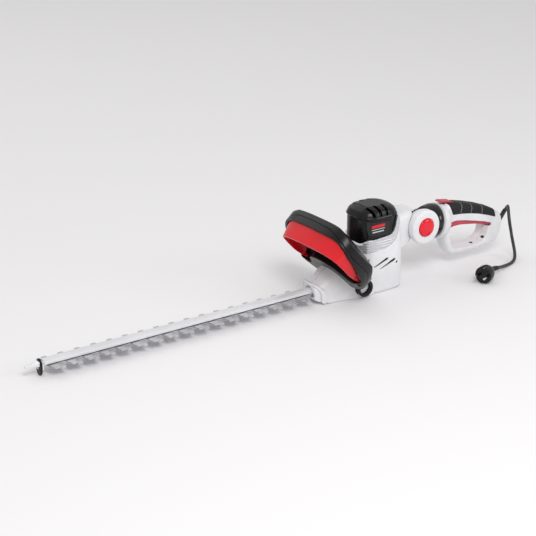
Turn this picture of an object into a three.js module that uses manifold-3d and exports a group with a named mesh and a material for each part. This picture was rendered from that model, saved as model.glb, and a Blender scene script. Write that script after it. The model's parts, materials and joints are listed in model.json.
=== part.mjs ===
// A corded electric hedge trimmer: reciprocating double blade, hooped front handle with a switch
// bar, tilting and turning rear handle, and a mains cord with its plug.
// Millimetres, +Z up. The origin is on the floor under the middle of the sole plate, the blade
// points along -X and the rear handle lies along +X.
import * as THREE from "three";
import { mergeVertices } from "three/addons/utils/BufferGeometryUtils.js";
import Module from "manifold-3d";

const wasm = await Module();
wasm.setup();

// ---- Driving dimensions ----

const gap = 0.3; // between two pieces that touch
const wall = 3.2; // moulded housings
const far = 400; // half size of a cutting block

const sole = { halfLength: 50, halfWidth: 31, thickness: 3.4, screwX: 30, screwY: 27.8 };

const blades = {
  firstTooth: -666,
  toothPitch: 33,
  toothCount: 17,
  toothTip: 28,
  toothRoot: 11,
  rootHalf: 9,
  tipHalf: 4.5,
  thickness: 2.3,
  lowerBottom: 15,
  spacing: 0.4,
  lowerShift: 12,
  stroke: 7,
  frontEnd: 8,
};

const cover = {
  halfWidth: 10.5,
  bottom: 20.3,
  shoulder: 24,
  top: 29.5,
  web: 2.3,
  cavityHalf: 7,
  rearX: -88,
};
const bolt = {
  radius: 3,
  headRadius: 6,
  headHeight: 3.6,
  rivetRadius: 5,
  positions: [-618, -453, -288, -165],
};

const tip = {
  plateX: -690,
  plateThickness: 4,
  plateHalf: 9,
  plateTop: 32,
  flange: 2.7,
  noseLength: 26,
  tenonHalf: 5,
  tenonBottom: 23,
  tenonTop: 27,
  tenonRear: -660,
  screwHeight: 15,
  screwRadius: 1.8,
};

const nose = { frontX: -106, bulkheadRear: -89, recessDepth: 4, recessHalf: 12.5, recessTop: 33.5 };
const slot = { halfWidth: 16, bottom: 12.5, top: 21.8 };

const column = { centreX: 46, corner: 28 };
const cap = {
  halfWidth: 39.5,
  rearX: 88,
  lip: 1.4,
  crown: 19.5,
  aboveBearing: 14.5,
  ventWidth: 5.5,
  ventPitch: 15,
  ventX: 22,
};
const band = { proud: 0.6, wall: 3.4 };

const gears = { driveX: 7.5, driveTeeth: 48, pinionTeeth: 8, module: 1.375, bottom: 30, width: 10 };
const crank = { shaftRadius: 4, camRadius: 13 };
const gearCase = {
  floorBottom: 22,
  floorTop: 27,
  split: 36,
  top: 46,
  wall: 3.5,
  skirtInner: 24.9,
  skirtOuter: 30.7,
};
const bearing = { radius: 11, height: 7, seatWall: 4 };
const motor = {
  shaftRadius: 4,
  shaftBottom: 28,
  fanBottom: 57,
  fanHeight: 8,
  fanRadius: 30,
  stackBottom: 70,
  stackHeight: 52,
  statorRadius: 29,
  armatureRadius: 18.4,
  airGap: 0.6,
  commutatorRadius: 11,
  commutatorBottom: 130,
  commutatorHeight: 15,
  upperBearingBottom: 152,
};

const bail = { tilt: 42.5, originX: -8, depth: 61, rearShell: 15.6, rounding: 10, wall: 3 };
const bar = {
  frontInset: 14,
  rearInset: 6,
  thickness: 4,
  hingeUp: 70,
  hingeDepth: 8,
  studRadius: 2,
  earWidth: 8,
  earInset: 7.6,
  seamRoom: 12.4,
  clearance: 0.7,
  travel: 4.5,
};
const eye = { x: -6.5, y: -50, z: 22, outer: 17.5, inner: 13, thickness: 4.6 };

const cradle = { bottom: 71, top: 75 };
const neck = { frontX: 84, rearX: 118, halfWidth: 34, bottom: 72, top: 150 };
const pivot = { x: 147, z: 114, tilt: 10, tongueRadius: 24.5, tongueHalf: 20.5, pinRadius: 5 };
const drum = {
  radius: 35,
  waist: 31,
  rightRadius: 25,
  inner: 20.8,
  outer: 47,
  rightOuter: 40,
  web: 10.2,
  rounding: 4,
};
const button = { radius: 18.5, height: 6, dome: 3.6, travel: 6 };
const swivel = {
  collarFront: 30,
  collarRear: 57,
  collarRadius: 34.8,
  ringRear: 61.9,
  ringRadius: 36,
  spigotRadius: 17.5,
  flangeRadius: 22,
  flangeFront: 68.5,
  flangeRear: 72.5,
  bore: 12,
};
const handle = { front: 62.2, half: 18, rounding: 8, wall: 4, cavityHalf: 14.4, hubRadius: 35.6 };
const grip = { proud: 0.7, depth: 1.8, grooves: [113, 141, 171], grooveWidth: 2.4 };
const trigger = { half: 14, hingeX: 213, hingeZ: -7, studRadius: 2, studLength: 2.5, travel: 5 };
const slide = {
  frontX: 61,
  rearX: 98,
  half: 8,
  bottom: 38.5,
  thickness: 3.6,
  stemX: 84,
  stemLength: 8,
  travel: 6,
};
const rearSwitch = { frontX: 112, rearX: 142, bottom: 17, top: 33 };

const cord = { radius: 3.25, reliefBase: 5.6, reliefEnd: 4.4 };
const plug = {
  radius: 17.6,
  length: 36,
  faceX: 232.7,
  faceY: -123.4,
  heading: 24.3,
  pinRadius: 2.4,
  pinLength: 19,
  pinPitch: 19,
};

// Lower edge of the silver band and of the motor cap, as height over length (X, Z).
const bandEdge = [
  [-60, 83],
  [5, 86],
  [25, 90],
  [47, 92],
  [60, 96],
  [73, 105],
  [80, 119],
  [85, 136],
  [88, 154],
];
const capEdge = [
  [-60, 98],
  [0, 100],
  [5, 107],
  [10, 112],
  [35, 114],
  [57, 115.5],
  [64, 118],
  [68, 122],
  [72, 130],
  [75, 140],
  [79, 147],
  [84, 151],
  [93, 152],
  [94, 170],
];

// The cord's line from the strain relief to the plug.
const reliefRoute = [
  [374, 1, 56],
  [380.5, 0.2, 63.2],
  [388.6, -0.3, 73.2],
  [393, -3.1, 83.2],
  [392.1, -8.2, 90.5],
];
const cordRoute = [
  [392.1, -8.6, 91.1],
  [390.7, -14.2, 98.1],
  [387, -20.9, 103.4],
  [380.9, -28.1, 106.4],
  [374.9, -35.7, 105.9],
  [369.4, -42.7, 102.4],
  [365.3, -48.7, 96.1],
  [363.2, -53.1, 87.8],
  [363.4, -55.4, 78.4],
  [365.9, -55.4, 69],
  [370.1, -52.9, 60.9],
  [375, -49.2, 53.7],
  [379.4, -46.6, 45.7],
  [382.2, -46.6, 36.4],
  [383.1, -49, 26.9],
  [381.7, -53.7, 18.5],
  [377.9, -59.7, 11.8],
  [372.1, -65.8, 7],
  [364.4, -71.1, 4.2],
  [355.8, -75.3, 3.4],
  [346.8, -78.6, 3.4],
  [337.8, -81.4, 3.8],
  [328.9, -84.3, 5],
  [320, -87.6, 6.6],
  [311.3, -91.1, 8.4],
  [302.7, -94.8, 10.5],
  [294.5, -98.4, 12.6],
];

// ---- Values that follow ----

const capTop = motor.upperBearingBottom + bearing.height + cap.aboveBearing;
const lipHeight = capTop - cap.crown;
const barRear = bail.depth - bail.rearShell - bar.seamRoom;
const bladeZ = {
  lower: blades.lowerBottom,
  upper: blades.lowerBottom + blades.thickness + blades.spacing,
  upperTop: blades.lowerBottom + 2 * blades.thickness + blades.spacing,
};
const driveRadius = (gears.driveTeeth * gears.module) / 2;
const pinionRadius = (gears.pinionTeeth * gears.module) / 2;
const motorX = gears.driveX + driveRadius + pinionRadius;
const camSweep = crank.camRadius + blades.stroke;
const tilt = THREE.MathUtils.degToRad(bail.tilt);

// Bail frame: x across the tool, y up the hoop, z to the rear through it.
const bailFrame = new THREE.Matrix4().makeBasis(
  new THREE.Vector3(0, 1, 0),
  new THREE.Vector3(-Math.sin(tilt), 0, Math.cos(tilt)),
  new THREE.Vector3(Math.cos(tilt), 0, Math.sin(tilt)),
);
bailFrame.setPosition(bail.originX, 0, 0);

// ---- Solids ----

function clean(geometry) {
  const bare = new THREE.BufferGeometry();
  bare.setAttribute("position", geometry.getAttribute("position").clone());
  if (geometry.index) {
    bare.setIndex(geometry.index.clone());
  }
  return mergeVertices(bare, 1e-4);
}

// A three.js geometry as a manifold solid with its faces turned outwards.
function solid(geometry) {
  const merged = clean(geometry);
  const points = merged.getAttribute("position");
  const corners = [];
  const a = new THREE.Vector3();
  const b = new THREE.Vector3();
  const c = new THREE.Vector3();
  let volume = 0;
  for (let i = 0; i < merged.index.count; i += 3) {
    const face = [merged.index.getX(i), merged.index.getX(i + 1), merged.index.getX(i + 2)];
    if (face[0] === face[1] || face[1] === face[2] || face[2] === face[0]) {
      continue;
    }
    a.fromBufferAttribute(points, face[0]);
    b.fromBufferAttribute(points, face[1]);
    c.fromBufferAttribute(points, face[2]);
    volume += a.dot(b.cross(c));
    corners.push(face);
  }
  const triVerts = new Uint32Array(corners.flatMap((face) => (volume < 0 ? face.toReversed() : face)));
  const vertProperties = new Float32Array(points.array);
  return new wasm.Manifold(new wasm.Mesh({ numProp: 3, vertProperties, triVerts }));
}

function geometryOf(shape) {
  const mesh = shape.getMesh();
  const geometry = new THREE.BufferGeometry();
  geometry.setAttribute("position", new THREE.BufferAttribute(new Float32Array(mesh.vertProperties), 3));
  geometry.setIndex(new THREE.BufferAttribute(new Uint32Array(mesh.triVerts), 1));
  geometry.computeVertexNormals();
  return geometry;
}

function join(...shapes) {
  return shapes.reduce((whole, piece) => whole.add(piece));
}

function cut(shape, ...tools) {
  return tools.reduce((whole, tool) => whole.subtract(tool), shape);
}

function box(x0, x1, y0, y1, z0, z1) {
  const geometry = new THREE.BoxGeometry(x1 - x0, y1 - y0, z1 - z0);
  geometry.translate((x0 + x1) / 2, (y0 + y1) / 2, (z0 + z1) / 2);
  return solid(geometry);
}

// A turned solid; the profile is [radius, height] and the height runs along the named axis.
function turned(profile, axis = "z", centre = [0, 0, 0], segments = 24) {
  const geometry = new THREE.LatheGeometry(
    profile.map(([radius, height]) => new THREE.Vector2(radius, height)),
    segments,
  );
  if (axis === "z") {
    geometry.rotateX(Math.PI / 2);
  }
  if (axis === "x") {
    geometry.rotateZ(-Math.PI / 2);
  }
  geometry.translate(...centre);
  return solid(geometry);
}

function rod(radius, from, to, axis, centre, segments = 16) {
  const profile = [
    [0, from],
    [radius, from],
    [radius, to],
    [0, to],
  ];
  return turned(profile, axis, centre, segments);
}

function tube(outer, inner, from, to, axis, centre, segments = 24) {
  const profile = [
    [inner, from],
    [outer, from],
    [outer, to],
    [inner, to],
    [inner, from],
  ];
  return turned(profile, axis, centre, segments);
}

function outline(points) {
  return new THREE.Shape(points.map(([x, y]) => new THREE.Vector2(x, y)));
}

// A closed smooth curve through the points.
function smooth(points, perSpan = 2) {
  const curve = new THREE.CatmullRomCurve3(
    points.map(([x, y]) => new THREE.Vector3(x, y, 0)),
    true,
  );
  return curve.getPoints(points.length * perSpan).slice(0, -1).map((point) => [point.x, point.y]);
}

function mirrored(points) {
  const inner = points.filter(([x]) => x > 0);
  return [...points, ...inner.toReversed().map(([x, y]) => [-x, y])];
}

// A plate with its outline in XY, from one height to another, with its edges rounded or moved.
function plate(shape, bottom, top, { rounding = 0, offset = 0, steps = 2 } = {}) {
  const rounded = rounding > 0 || offset !== 0;
  const bevel = Math.max(rounding, rounded ? 0.01 : 0);
  const geometry = new THREE.ExtrudeGeometry(shape, {
    depth: top - bottom - 2 * bevel,
    bevelEnabled: rounded,
    bevelThickness: bevel,
    bevelSize: bevel,
    bevelOffset: offset - bevel,
    bevelSegments: rounding > 0 ? steps : 1,
    curveSegments: 5,
  });
  geometry.translate(0, 0, bottom + bevel);
  return geometry;
}

function plateXY(shape, bottom, top, options) {
  return solid(plate(shape, bottom, top, options));
}

// The same plate standing across the tool: its outline is in XZ and it runs from y0 to y1.
function plateXZ(shape, y0, y1, options) {
  const geometry = plate(shape, -y1, -y0, options);
  geometry.rotateX(Math.PI / 2);
  return solid(geometry);
}

// The same plate along the tool: its outline is in YZ and it runs from x0 to x1.
function plateYZ(shape, x0, x1, options) {
  const geometry = plate(shape, x0, x1, options);
  const frame = new THREE.Matrix4().makeBasis(
    new THREE.Vector3(0, 1, 0),
    new THREE.Vector3(0, 0, 1),
    new THREE.Vector3(1, 0, 0),
  );
  geometry.applyMatrix4(frame);
  return solid(geometry);
}

function plateBail(shape, front, rear, options) {
  const geometry = plate(shape, front, rear, options);
  geometry.applyMatrix4(bailFrame);
  return solid(geometry);
}

// Skins a stack of rings with equal point counts and closes both ends.
function loftGeometry(rings) {
  const count = rings[0].length;
  const points = rings.flat();
  const ends = [rings[0], rings.at(-1)].map((ring) => {
    const middle = new THREE.Vector3();
    ring.forEach((point) => middle.add(point));
    return middle.divideScalar(count);
  });
  const faces = [];
  for (let level = 0; level + 1 < rings.length; level += 1) {
    for (let i = 0; i < count; i += 1) {
      const here = level * count + i;
      const next = level * count + ((i + 1) % count);
      faces.push(here, next, next + count, here, next + count, here + count);
    }
  }
  const last = (rings.length - 1) * count;
  const first = points.length;
  for (let i = 0; i < count; i += 1) {
    const next = (i + 1) % count;
    faces.push(first, next, i, first + 1, last + i, last + next);
  }
  const geometry = new THREE.BufferGeometry();
  geometry.setAttribute(
    "position",
    new THREE.Float32BufferAttribute([...points, ...ends].flatMap((point) => point.toArray()), 3),
  );
  geometry.setIndex(faces);
  return geometry;
}

function loft(rings) {
  return solid(loftGeometry(rings));
}

// A rounded rectangle at height z, as a ring of points.
function columnRing(z, x0, x1, half, corner, steps = 4) {
  const ring = [];
  const centres = [
    [x1 - corner, half - corner],
    [x0 + corner, half - corner],
    [x0 + corner, corner - half],
    [x1 - corner, corner - half],
  ];
  centres.forEach(([x, y], quarter) => {
    for (let i = 0; i <= steps; i += 1) {
      const angle = ((quarter + i / steps) * Math.PI) / 2;
      ring.push(new THREE.Vector3(x + corner * Math.cos(angle), y + corner * Math.sin(angle), z));
    }
  });
  return ring;
}

// An arch across the tool at length x: flat base, straight sides and rounded shoulders.
function archRing(x, half, bottom, top, shoulder, steps = 5) {
  const side = [];
  for (let i = 0; i <= steps; i += 1) {
    const angle = (i / steps) * (Math.PI / 2);
    const y = half - shoulder + shoulder * Math.cos(angle);
    side.push([y, top - shoulder + shoulder * Math.sin(angle)]);
  }
  const left = side.toReversed().map(([y, z]) => [-y, z]);
  const points = [[half, bottom], ...side, ...left, [-half, bottom]];
  return points.map(([y, z]) => new THREE.Vector3(x, y, z));
}

function underEdge(edge, shiftX, shiftZ) {
  const points = edge.map(([x, z]) => [x + shiftX, z + shiftZ]);
  const start = [-far, points[0][1]];
  const end = [points.at(-1)[0], far];
  const shape = outline([[-far, -far], start, ...points, end, [far, far], [far, -far]]);
  return plateXZ(shape, -far, far);
}

function helix(radius, turns, length, wire) {
  const route = [];
  const steps = turns * 8;
  for (let i = 0; i <= steps; i += 1) {
    const angle = (i / steps) * turns * 2 * Math.PI;
    const height = wire + (i / steps) * (length - 2 * wire);
    route.push(new THREE.Vector3(radius * Math.cos(angle), radius * Math.sin(angle), height));
  }
  return sweptTube(new THREE.CatmullRomCurve3(route), steps, wire, 5);
}

function circleShape(radius, sides) {
  const points = [];
  for (let i = 0; i < sides; i += 1) {
    const angle = (i / sides) * 2 * Math.PI;
    points.push([radius * Math.cos(angle), radius * Math.sin(angle)]);
  }
  return outline(points);
}

function sweptTube(curve, steps, radius, sides) {
  const settings = { steps, extrudePath: curve, bevelEnabled: false };
  return new THREE.ExtrudeGeometry(circleShape(radius, sides), settings);
}

// A round sleeve along a curve whose radius runs from one value to another.
function taperedSleeve(curve, steps, startRadius, endRadius, sides = 12) {
  const frames = curve.computeFrenetFrames(steps, false);
  const rings = [];
  for (let i = 0; i <= steps; i += 1) {
    const centre = curve.getPointAt(i / steps);
    const radius = THREE.MathUtils.lerp(startRadius, endRadius, i / steps);
    const ring = [];
    for (let side = 0; side < sides; side += 1) {
      const angle = (side / sides) * 2 * Math.PI;
      const point = centre.clone();
      point.addScaledVector(frames.normals[i], radius * Math.cos(angle));
      point.addScaledVector(frames.binormals[i], radius * Math.sin(angle));
      ring.push(point);
    }
    rings.push(ring);
  }
  return loft(rings);
}

// ---- The housing's forms ----

// Outer form of the motor column, or the form a given distance inside it.
function columnForm(inset, bottom = 0) {
  const levels = [
    [bottom + 0.4, 2, 97, 41],
    [6, -2, 101, 45],
    [60, -2, 101.5, 45],
    [88, -2, 101.5, 44],
    [113, -1, 101.5, 42.5],
    [138, 0, 99.5, 42],
    [150, 0, 93, 41.5],
  ];
  const rings = levels.map(([z, x0, x1, half]) =>
    columnRing(z, x0 + inset, x1 - inset, half - inset, column.corner - inset),
  );
  return loft(rings);
}

function noseForm(inset, grow = 0) {
  const levels = [
    [nose.frontX, 21.5, 9.2, 37, 15],
    [-98, 25, 5.5, 40, 20],
    [-89.5, 28, 3, 45.5, 25],
    [-77, 31, 0.8, 56.5, 29.5],
    [-60, 33.5, 0.4, 68, 32],
    [-41, 36, 0.4, 75, 33],
    [-20, 42, 0.4, 77.5, 34],
    [20, 44, 0.4, 79.5, 34],
  ];
  const first = inset > 0 ? [nose.bulkheadRear, 28, 4, 45.5, 25] : levels[0];
  const rest = levels.filter(([x]) => x > first[0] || inset === 0);
  const used = inset > 0 ? [first, ...rest] : levels;
  const rings = used.map(([x, half, bottom, top, shoulder]) => {
    const edge = inset - grow;
    const base = inset > 0 ? Math.max(sole.thickness + gap, bottom + inset) : bottom - grow;
    const round = Math.max(shoulder - edge, 2);
    return archRing(x, half - edge, base, top - edge, round);
  });
  return loft(rings);
}

function neckForm(inset) {
  const levels = [
    [neck.frontX - 20, 30, 80, 140],
    [neck.frontX + 12, neck.halfWidth, neck.bottom, neck.top - 4],
    [neck.rearX - 8, neck.halfWidth, neck.bottom + 4, neck.top],
    [neck.rearX + 6, neck.halfWidth - 4, neck.bottom + 12, neck.top - 2],
  ];
  const rings = levels.map(([x, half, bottom, top]) => {
    const ring = columnRing(0, bottom + inset, top - inset, half - inset, 12 - inset / 2, 3);
    return ring.map((point) => new THREE.Vector3(x, point.y, point.x));
  });
  return loft(rings);
}

function tongueForm() {
  const points = [
    [neck.frontX + 16, neck.bottom + 10],
    [pivot.x - 18, pivot.z - 24],
    [pivot.x, pivot.z],
    [pivot.x - 18, pivot.z + 24],
    [neck.frontX + 16, neck.top - 8],
  ];
  const block = plateXZ(outline(points), -pivot.tongueHalf, pivot.tongueHalf);
  const round = rod(pivot.tongueRadius, -pivot.tongueHalf, pivot.tongueHalf, "y", [pivot.x, 0, pivot.z], 32);
  const bore = rod(pivot.pinRadius + gap, -60, 60, "y", [pivot.x, 0, pivot.z]);
  return cut(join(block, round), bore);
}

// The outside of the white body, as one block; grow makes the clearance that the hoop keeps from it.
function bodyBlock(grow = 0) {
  const edges = underEdge(bandEdge, 0.25, -gap);
  const shaft = columnForm(-grow).intersect(grow > 0 ? columnForm(-grow) : edges);
  return join(shaft, noseForm(0, grow));
}

function louvreCutter() {
  const louvres = [
    [15, 56, 54, 69],
    [30, 50, 72, 64],
    [72, 54.5, 78, 58],
  ];
  const cutters = louvres.map(([x0, z0, x1, z1]) => {
    const points = [
      [x0, z0],
      [x0 + 5, z0],
      [x1, z1 - 2],
      [x1, z1 + 2],
      [x1 - 4, z1 + 2],
    ];
    return plateXZ(outline(points), -60, 60);
  });
  const blocker = box(-far, far, -39, 39, -far, far);
  return cut(join(...cutters), blocker);
}

function housing() {
  const outside = join(bodyBlock(), cutNeck());
  const { frontX, rearX, halfWidth, bottom, top } = neck;
  const neckRoom = box(frontX - 10, rearX - 10, 5 - halfWidth, halfWidth - 5, bottom + 16, top - 16);
  const inside = join(columnForm(wall, sole.thickness + gap), noseForm(wall), neckRoom);
  const shelf = columnForm(wall - 1).intersect(box(-far, far, -far, far, cradle.bottom, cradle.top));
  const motorCradle = cut(shelf, rod(motor.statorRadius + gap, 60, 90, "z", [motorX, 0, 0], 24));
  const soleLength = sole.halfLength + gap;
  const soleWidth = sole.halfWidth + gap;
  const soleRoom = box(-soleLength, soleLength, -soleWidth, soleWidth, -5, sole.thickness + 1);
  const shell = cut(outside, inside, coverPath(), soleRoom, louvreCutter());
  return join(shell, motorCradle.intersect(bodyBlock()));
}

function cutNeck() {
  const stem = neckForm(0).intersect(underEdge(bandEdge, 0.25, -gap));
  return join(cut(stem, swivelClear()), tongueForm().intersect(clearColumn()));
}

// Room for the two drums that turn on either side of the tongue.
function swivelClear() {
  const round = rod(drum.radius + 0.6, -60, 60, "y", [pivot.x, 0, pivot.z], 32);
  return cut(round, box(-far, far, -pivot.tongueHalf, pivot.tongueHalf, -far, far));
}

function clearColumn() {
  return box(column.centreX + 40, far, -far, far, -far, far);
}

// What the bulkhead in the nose leaves free for the bar cover and the blades.
function coverPath() {
  const front = nose.frontX - 5;
  const rear = nose.bulkheadRear + 5;
  const snug = plateYZ(coverOutline(gap), front, rear);
  const recess = plateYZ(recessOutline(), front, nose.frontX + nose.recessDepth);
  const shank = box(front, rear, -slot.halfWidth, slot.halfWidth, slot.bottom, slot.top);
  return join(snug, recess, shank);
}

function recessOutline() {
  const steps = 8;
  const points = [[nose.recessHalf, slot.bottom]];
  for (let i = 0; i <= steps; i += 1) {
    const angle = (i / steps) * Math.PI;
    const rise = nose.recessTop - slot.top;
    points.push([nose.recessHalf * Math.cos(angle), slot.top + rise * Math.sin(angle)]);
  }
  points.push([-nose.recessHalf, slot.bottom]);
  return outline(points);
}

function coverOutline(grow) {
  const steps = 10;
  const half = cover.halfWidth + grow;
  const points = [[half, cover.bottom - grow]];
  for (let i = 0; i <= steps; i += 1) {
    const angle = (i / steps) * Math.PI;
    const rise = cover.top + grow - cover.shoulder;
    points.push([half * Math.cos(angle), cover.shoulder + rise * Math.sin(angle)]);
  }
  points.push([-half, cover.bottom - grow]);
  return outline(points);
}

function halfOf(shape, side) {
  const low = side < 0 ? -far : gap / 2;
  const high = side < 0 ? -gap / 2 : far;
  return shape.intersect(box(-far * 2, far * 2, low, high, -far, far));
}

// ---- Motor cap, band and label ----

function capForm(inset) {
  const levels = [
    [95, 1.5, cap.rearX, cap.halfWidth],
    [lipHeight - 1, 1.5, cap.rearX, cap.halfWidth],
    [lipHeight, 1.5 - cap.lip, cap.rearX + cap.lip, cap.halfWidth + cap.lip],
    [lipHeight + 6, 1.5, cap.rearX, cap.halfWidth],
    [lipHeight + 11.5, 5, cap.rearX - 4, 36],
    [lipHeight + 16, 12, cap.rearX - 11, 29.5],
    [capTop, 25, cap.rearX - 24, 16.5],
  ];
  const rings = levels.map(([z, x0, x1, half]) => {
    const corner = Math.min(26, half - 1) - inset;
    const height = z > lipHeight ? z - inset : z - inset * 0.2;
    return columnRing(height, x0 + inset, x1 - inset, half - inset, corner);
  });
  return loft(rings);
}

function ventX(i) {
  return cap.ventX + i * cap.ventPitch;
}

function motorCap() {
  const above = cut(capForm(0), underEdge(capEdge, -0.25, gap));
  const shell = cut(above, capForm(wall));
  const slots = [0, 1, 2].map((i) => {
    const half = cap.ventWidth / 2;
    const x = ventX(i);
    const near = box(x - half, x + half, -60, -14, lipHeight + 3, 200);
    const farSide = box(x - half, x + half, 14, 60, lipHeight + 3, 200);
    const crown = box(x - half, x + half, -15, 15, capTop - 1.6, 200);
    return join(near, farSide, crown);
  });
  const seatBottom = motor.upperBearingBottom - 2;
  const seatTop = motor.upperBearingBottom + bearing.height + gap;
  const boss = cut(
    rod(bearing.radius + gap + bearing.seatWall, seatBottom, capTop - 2, "z", [motorX, 0, 0], 24),
    rod(bearing.radius + gap, seatBottom - 1, seatTop, "z", [motorX, 0, 0], 24),
    rod(motor.shaftRadius + 1, seatBottom - 1, seatTop + 5, "z", [motorX, 0, 0], 24),
  );
  return join(cut(shell, ...slots), boss);
}

function silverBand() {
  const zone = cut(underEdge(capEdge, 0, 0), underEdge(bandEdge, 0, 0));
  const shell = cut(columnForm(-band.proud), columnForm(band.wall));
  const ring = shell.intersect(zone);
  const rear = neckForm(-gap);
  return cut(ring, rear);
}

function labelPlate() {
  const skin = cut(capForm(-0.9), capForm(-gap));
  const points = [
    [7.5, 149.5],
    [8.5, 131],
    [12, 121.5],
    [38, 119],
    [56.5, 118.5],
    [60, 145.5],
  ];
  const window = plateXZ(outline(points), -60, -20, { rounding: 0, offset: 0 });
  return skin.intersect(window);
}

// ---- Sole and gear case ----

function screwPlaces() {
  const places = [];
  for (const x of [-sole.screwX, sole.screwX]) {
    for (const y of [-sole.screwY, sole.screwY]) {
      places.push([x, y]);
    }
  }
  return places;
}

const soleScrew = { radius: 1.6, length: 14, headRadius: 3.1, headBottom: 0.5, headTop: 2.2 };

function solePlate() {
  const { halfLength, halfWidth, thickness } = sole;
  const corner = 4;
  const corners = columnRing(0, -halfLength, halfLength, halfWidth, corner, 3);
  const ring = corners.map((point) => [point.x, point.y]);
  const holes = screwPlaces().map(([x, y]) =>
    join(
      rod(soleScrew.radius + gap, -1, thickness + 1, "z", [x, y, 0], 16),
      rod(soleScrew.headRadius + gap, -1, soleScrew.headTop + gap, "z", [x, y, 0], 20),
    ),
  );
  return cut(plateXY(outline(ring), 0, thickness), ...holes);
}

function screw(x, y) {
  const { radius, length, headRadius, headBottom, headTop } = soleScrew;
  const profile = [
    [0, headBottom],
    [headRadius, headBottom],
    [headRadius, headTop],
    [radius, headTop],
    [radius, length],
    [0, length],
  ];
  return turned(profile, "z", [x, y, 0], 10);
}

// The ground plan of the gear case: a belt around the drive gear and the motor pinion.
function caseOutline(grow) {
  const big = driveRadius + 1 + grow;
  const small = pinionRadius + 6 + grow;
  const span = motorX - gears.driveX;
  const lean = Math.acos((big - small) / span);
  const points = [];
  const steps = 16;
  for (let i = 0; i <= steps; i += 1) {
    const angle = lean + (i / steps) * 2 * (Math.PI - lean);
    points.push([gears.driveX + big * Math.cos(angle), big * Math.sin(angle)]);
  }
  for (let i = 0; i <= 8; i += 1) {
    const angle = -lean + (i / 8) * 2 * lean;
    points.push([motorX + small * Math.cos(angle), small * Math.sin(angle)]);
  }
  return outline(points);
}

function gearCaseLower() {
  const { floorBottom, floorTop, split, skirtInner, skirtOuter } = gearCase;
  const bowl = cut(
    plateXY(caseOutline(gearCase.wall), floorBottom, split),
    plateXY(caseOutline(0), floorTop, split + 1),
    rod(crank.shaftRadius + gap, 0, 60, "z", [gears.driveX, 0, 0], 24),
  );
  const skirts = [-1, 1].map((side) => {
    const low = Math.min(side * skirtInner, side * skirtOuter);
    const high = Math.max(side * skirtInner, side * skirtOuter);
    return box(-sole.screwX - 6, sole.screwX + 6, low, high, sole.thickness + gap, floorBottom + 1);
  });
  const braces = box(-sole.screwX - 6, sole.screwX + 6, -skirtOuter, skirtOuter, floorBottom, floorTop);
  const crankBore = rod(crank.shaftRadius + gap, 0, 60, "z", [gears.driveX, 0, 0], 24);
  const well = plateXY(caseOutline(0), floorTop, split + 1);
  const threads = screwPlaces().map(([x, y]) =>
    rod(soleScrew.radius + gap, 0, soleScrew.length + gap, "z", [x, y, 0], 16),
  );
  return cut(join(bowl, braces, ...skirts), crankBore, well, ...threads);
}

function gearCaseCover() {
  const { split, top } = gearCase;
  const seatTop = top + 1 + bearing.height;
  const dome = plateXY(caseOutline(gearCase.wall), split + gap, top);
  const well = plateXY(caseOutline(0), split - 1, top - 3);
  const seat = rod(bearing.radius + gap + bearing.seatWall, top - 1, seatTop, "z", [motorX, 0, 0], 24);
  const bore = rod(bearing.radius + gap, top + 1, seatTop + 1, "z", [motorX, 0, 0], 24);
  const shaftHole = rod(motor.shaftRadius + gap, 0, seatTop, "z", [motorX, 0, 0], 24);
  const crankHole = rod(crank.shaftRadius + gap, 0, top - 1.5, "z", [gears.driveX, 0, 0], 24);
  return cut(join(dome, seat), well, bore, shaftHole, crankHole);
}

// ---- Motor ----

function lowerBearingBottom() {
  return gearCase.top + 1 + gap;
}

function ballBearing(bottom) {
  const bore = motor.shaftRadius + gap;
  const { radius, height } = bearing;
  const profile = [
    [bore, bottom],
    [radius, bottom],
    [radius, bottom + height],
    [radius - 2.5, bottom + height],
    [radius - 2.5, bottom + height - 0.8],
    [bore + 2, bottom + height - 0.8],
    [bore + 2, bottom + height],
    [bore, bottom + height],
    [bore, bottom],
  ];
  return turned(profile, "z", [motorX, 0, 0], 16);
}

function motorShaft() {
  const top = motor.upperBearingBottom + bearing.height - 1;
  const shaft = rod(motor.shaftRadius, motor.shaftBottom, top, "z", [motorX, 0, 0], 24);
  const { pinionTeeth, bottom, width } = gears;
  const pinion = gearWheel(pinionTeeth, pinionRadius - gap, 0.7, bottom - 1, width + 2, motorX);
  return join(shaft, pinion);
}

// A spur gear whose teeth are cut short, so that it runs clear of its mate.
function gearWheel(teeth, radius, toothHeight, bottom, width, x) {
  const points = [];
  const pitch = (2 * Math.PI) / teeth;
  for (let i = 0; i < teeth; i += 1) {
    const corners = [
      [-0.25, radius - toothHeight],
      [0.25, radius],
    ];
    for (const [turn, r] of corners) {
      const angle = (i + turn) * pitch;
      points.push([x + r * Math.cos(angle), r * Math.sin(angle)]);
    }
  }
  return plateXY(outline(points), bottom, bottom + width);
}

function driveGear() {
  const wheel = gearWheel(gears.driveTeeth, driveRadius, 1.2, gears.bottom, gears.width, gears.driveX);
  const hub = rod(9, gearCase.floorTop + gap, gearCase.top - 3 - gap, "z", [gears.driveX, 0, 0], 24);
  const bore = rod(crank.shaftRadius + gap, 0, 60, "z", [gears.driveX, 0, 0], 24);
  return cut(join(wheel, hub), bore);
}

function armature() {
  const { stackBottom, stackHeight, armatureRadius, shaftRadius } = motor;
  const top = stackBottom + stackHeight;
  return tube(armatureRadius, shaftRadius + gap, stackBottom, top, "z", [motorX, 0, 0], 24);
}

function stator() {
  const { stackBottom, stackHeight, statorRadius, armatureRadius, airGap } = motor;
  const inner = armatureRadius + airGap;
  return tube(statorRadius, inner, stackBottom, stackBottom + stackHeight, "z", [motorX, 0, 0], 24);
}

function commutator() {
  const { commutatorRadius, commutatorBottom, commutatorHeight, shaftRadius } = motor;
  const top = commutatorBottom + commutatorHeight;
  return tube(commutatorRadius, shaftRadius + gap, commutatorBottom, top, "z", [motorX, 0, 0], 24);
}

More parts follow.
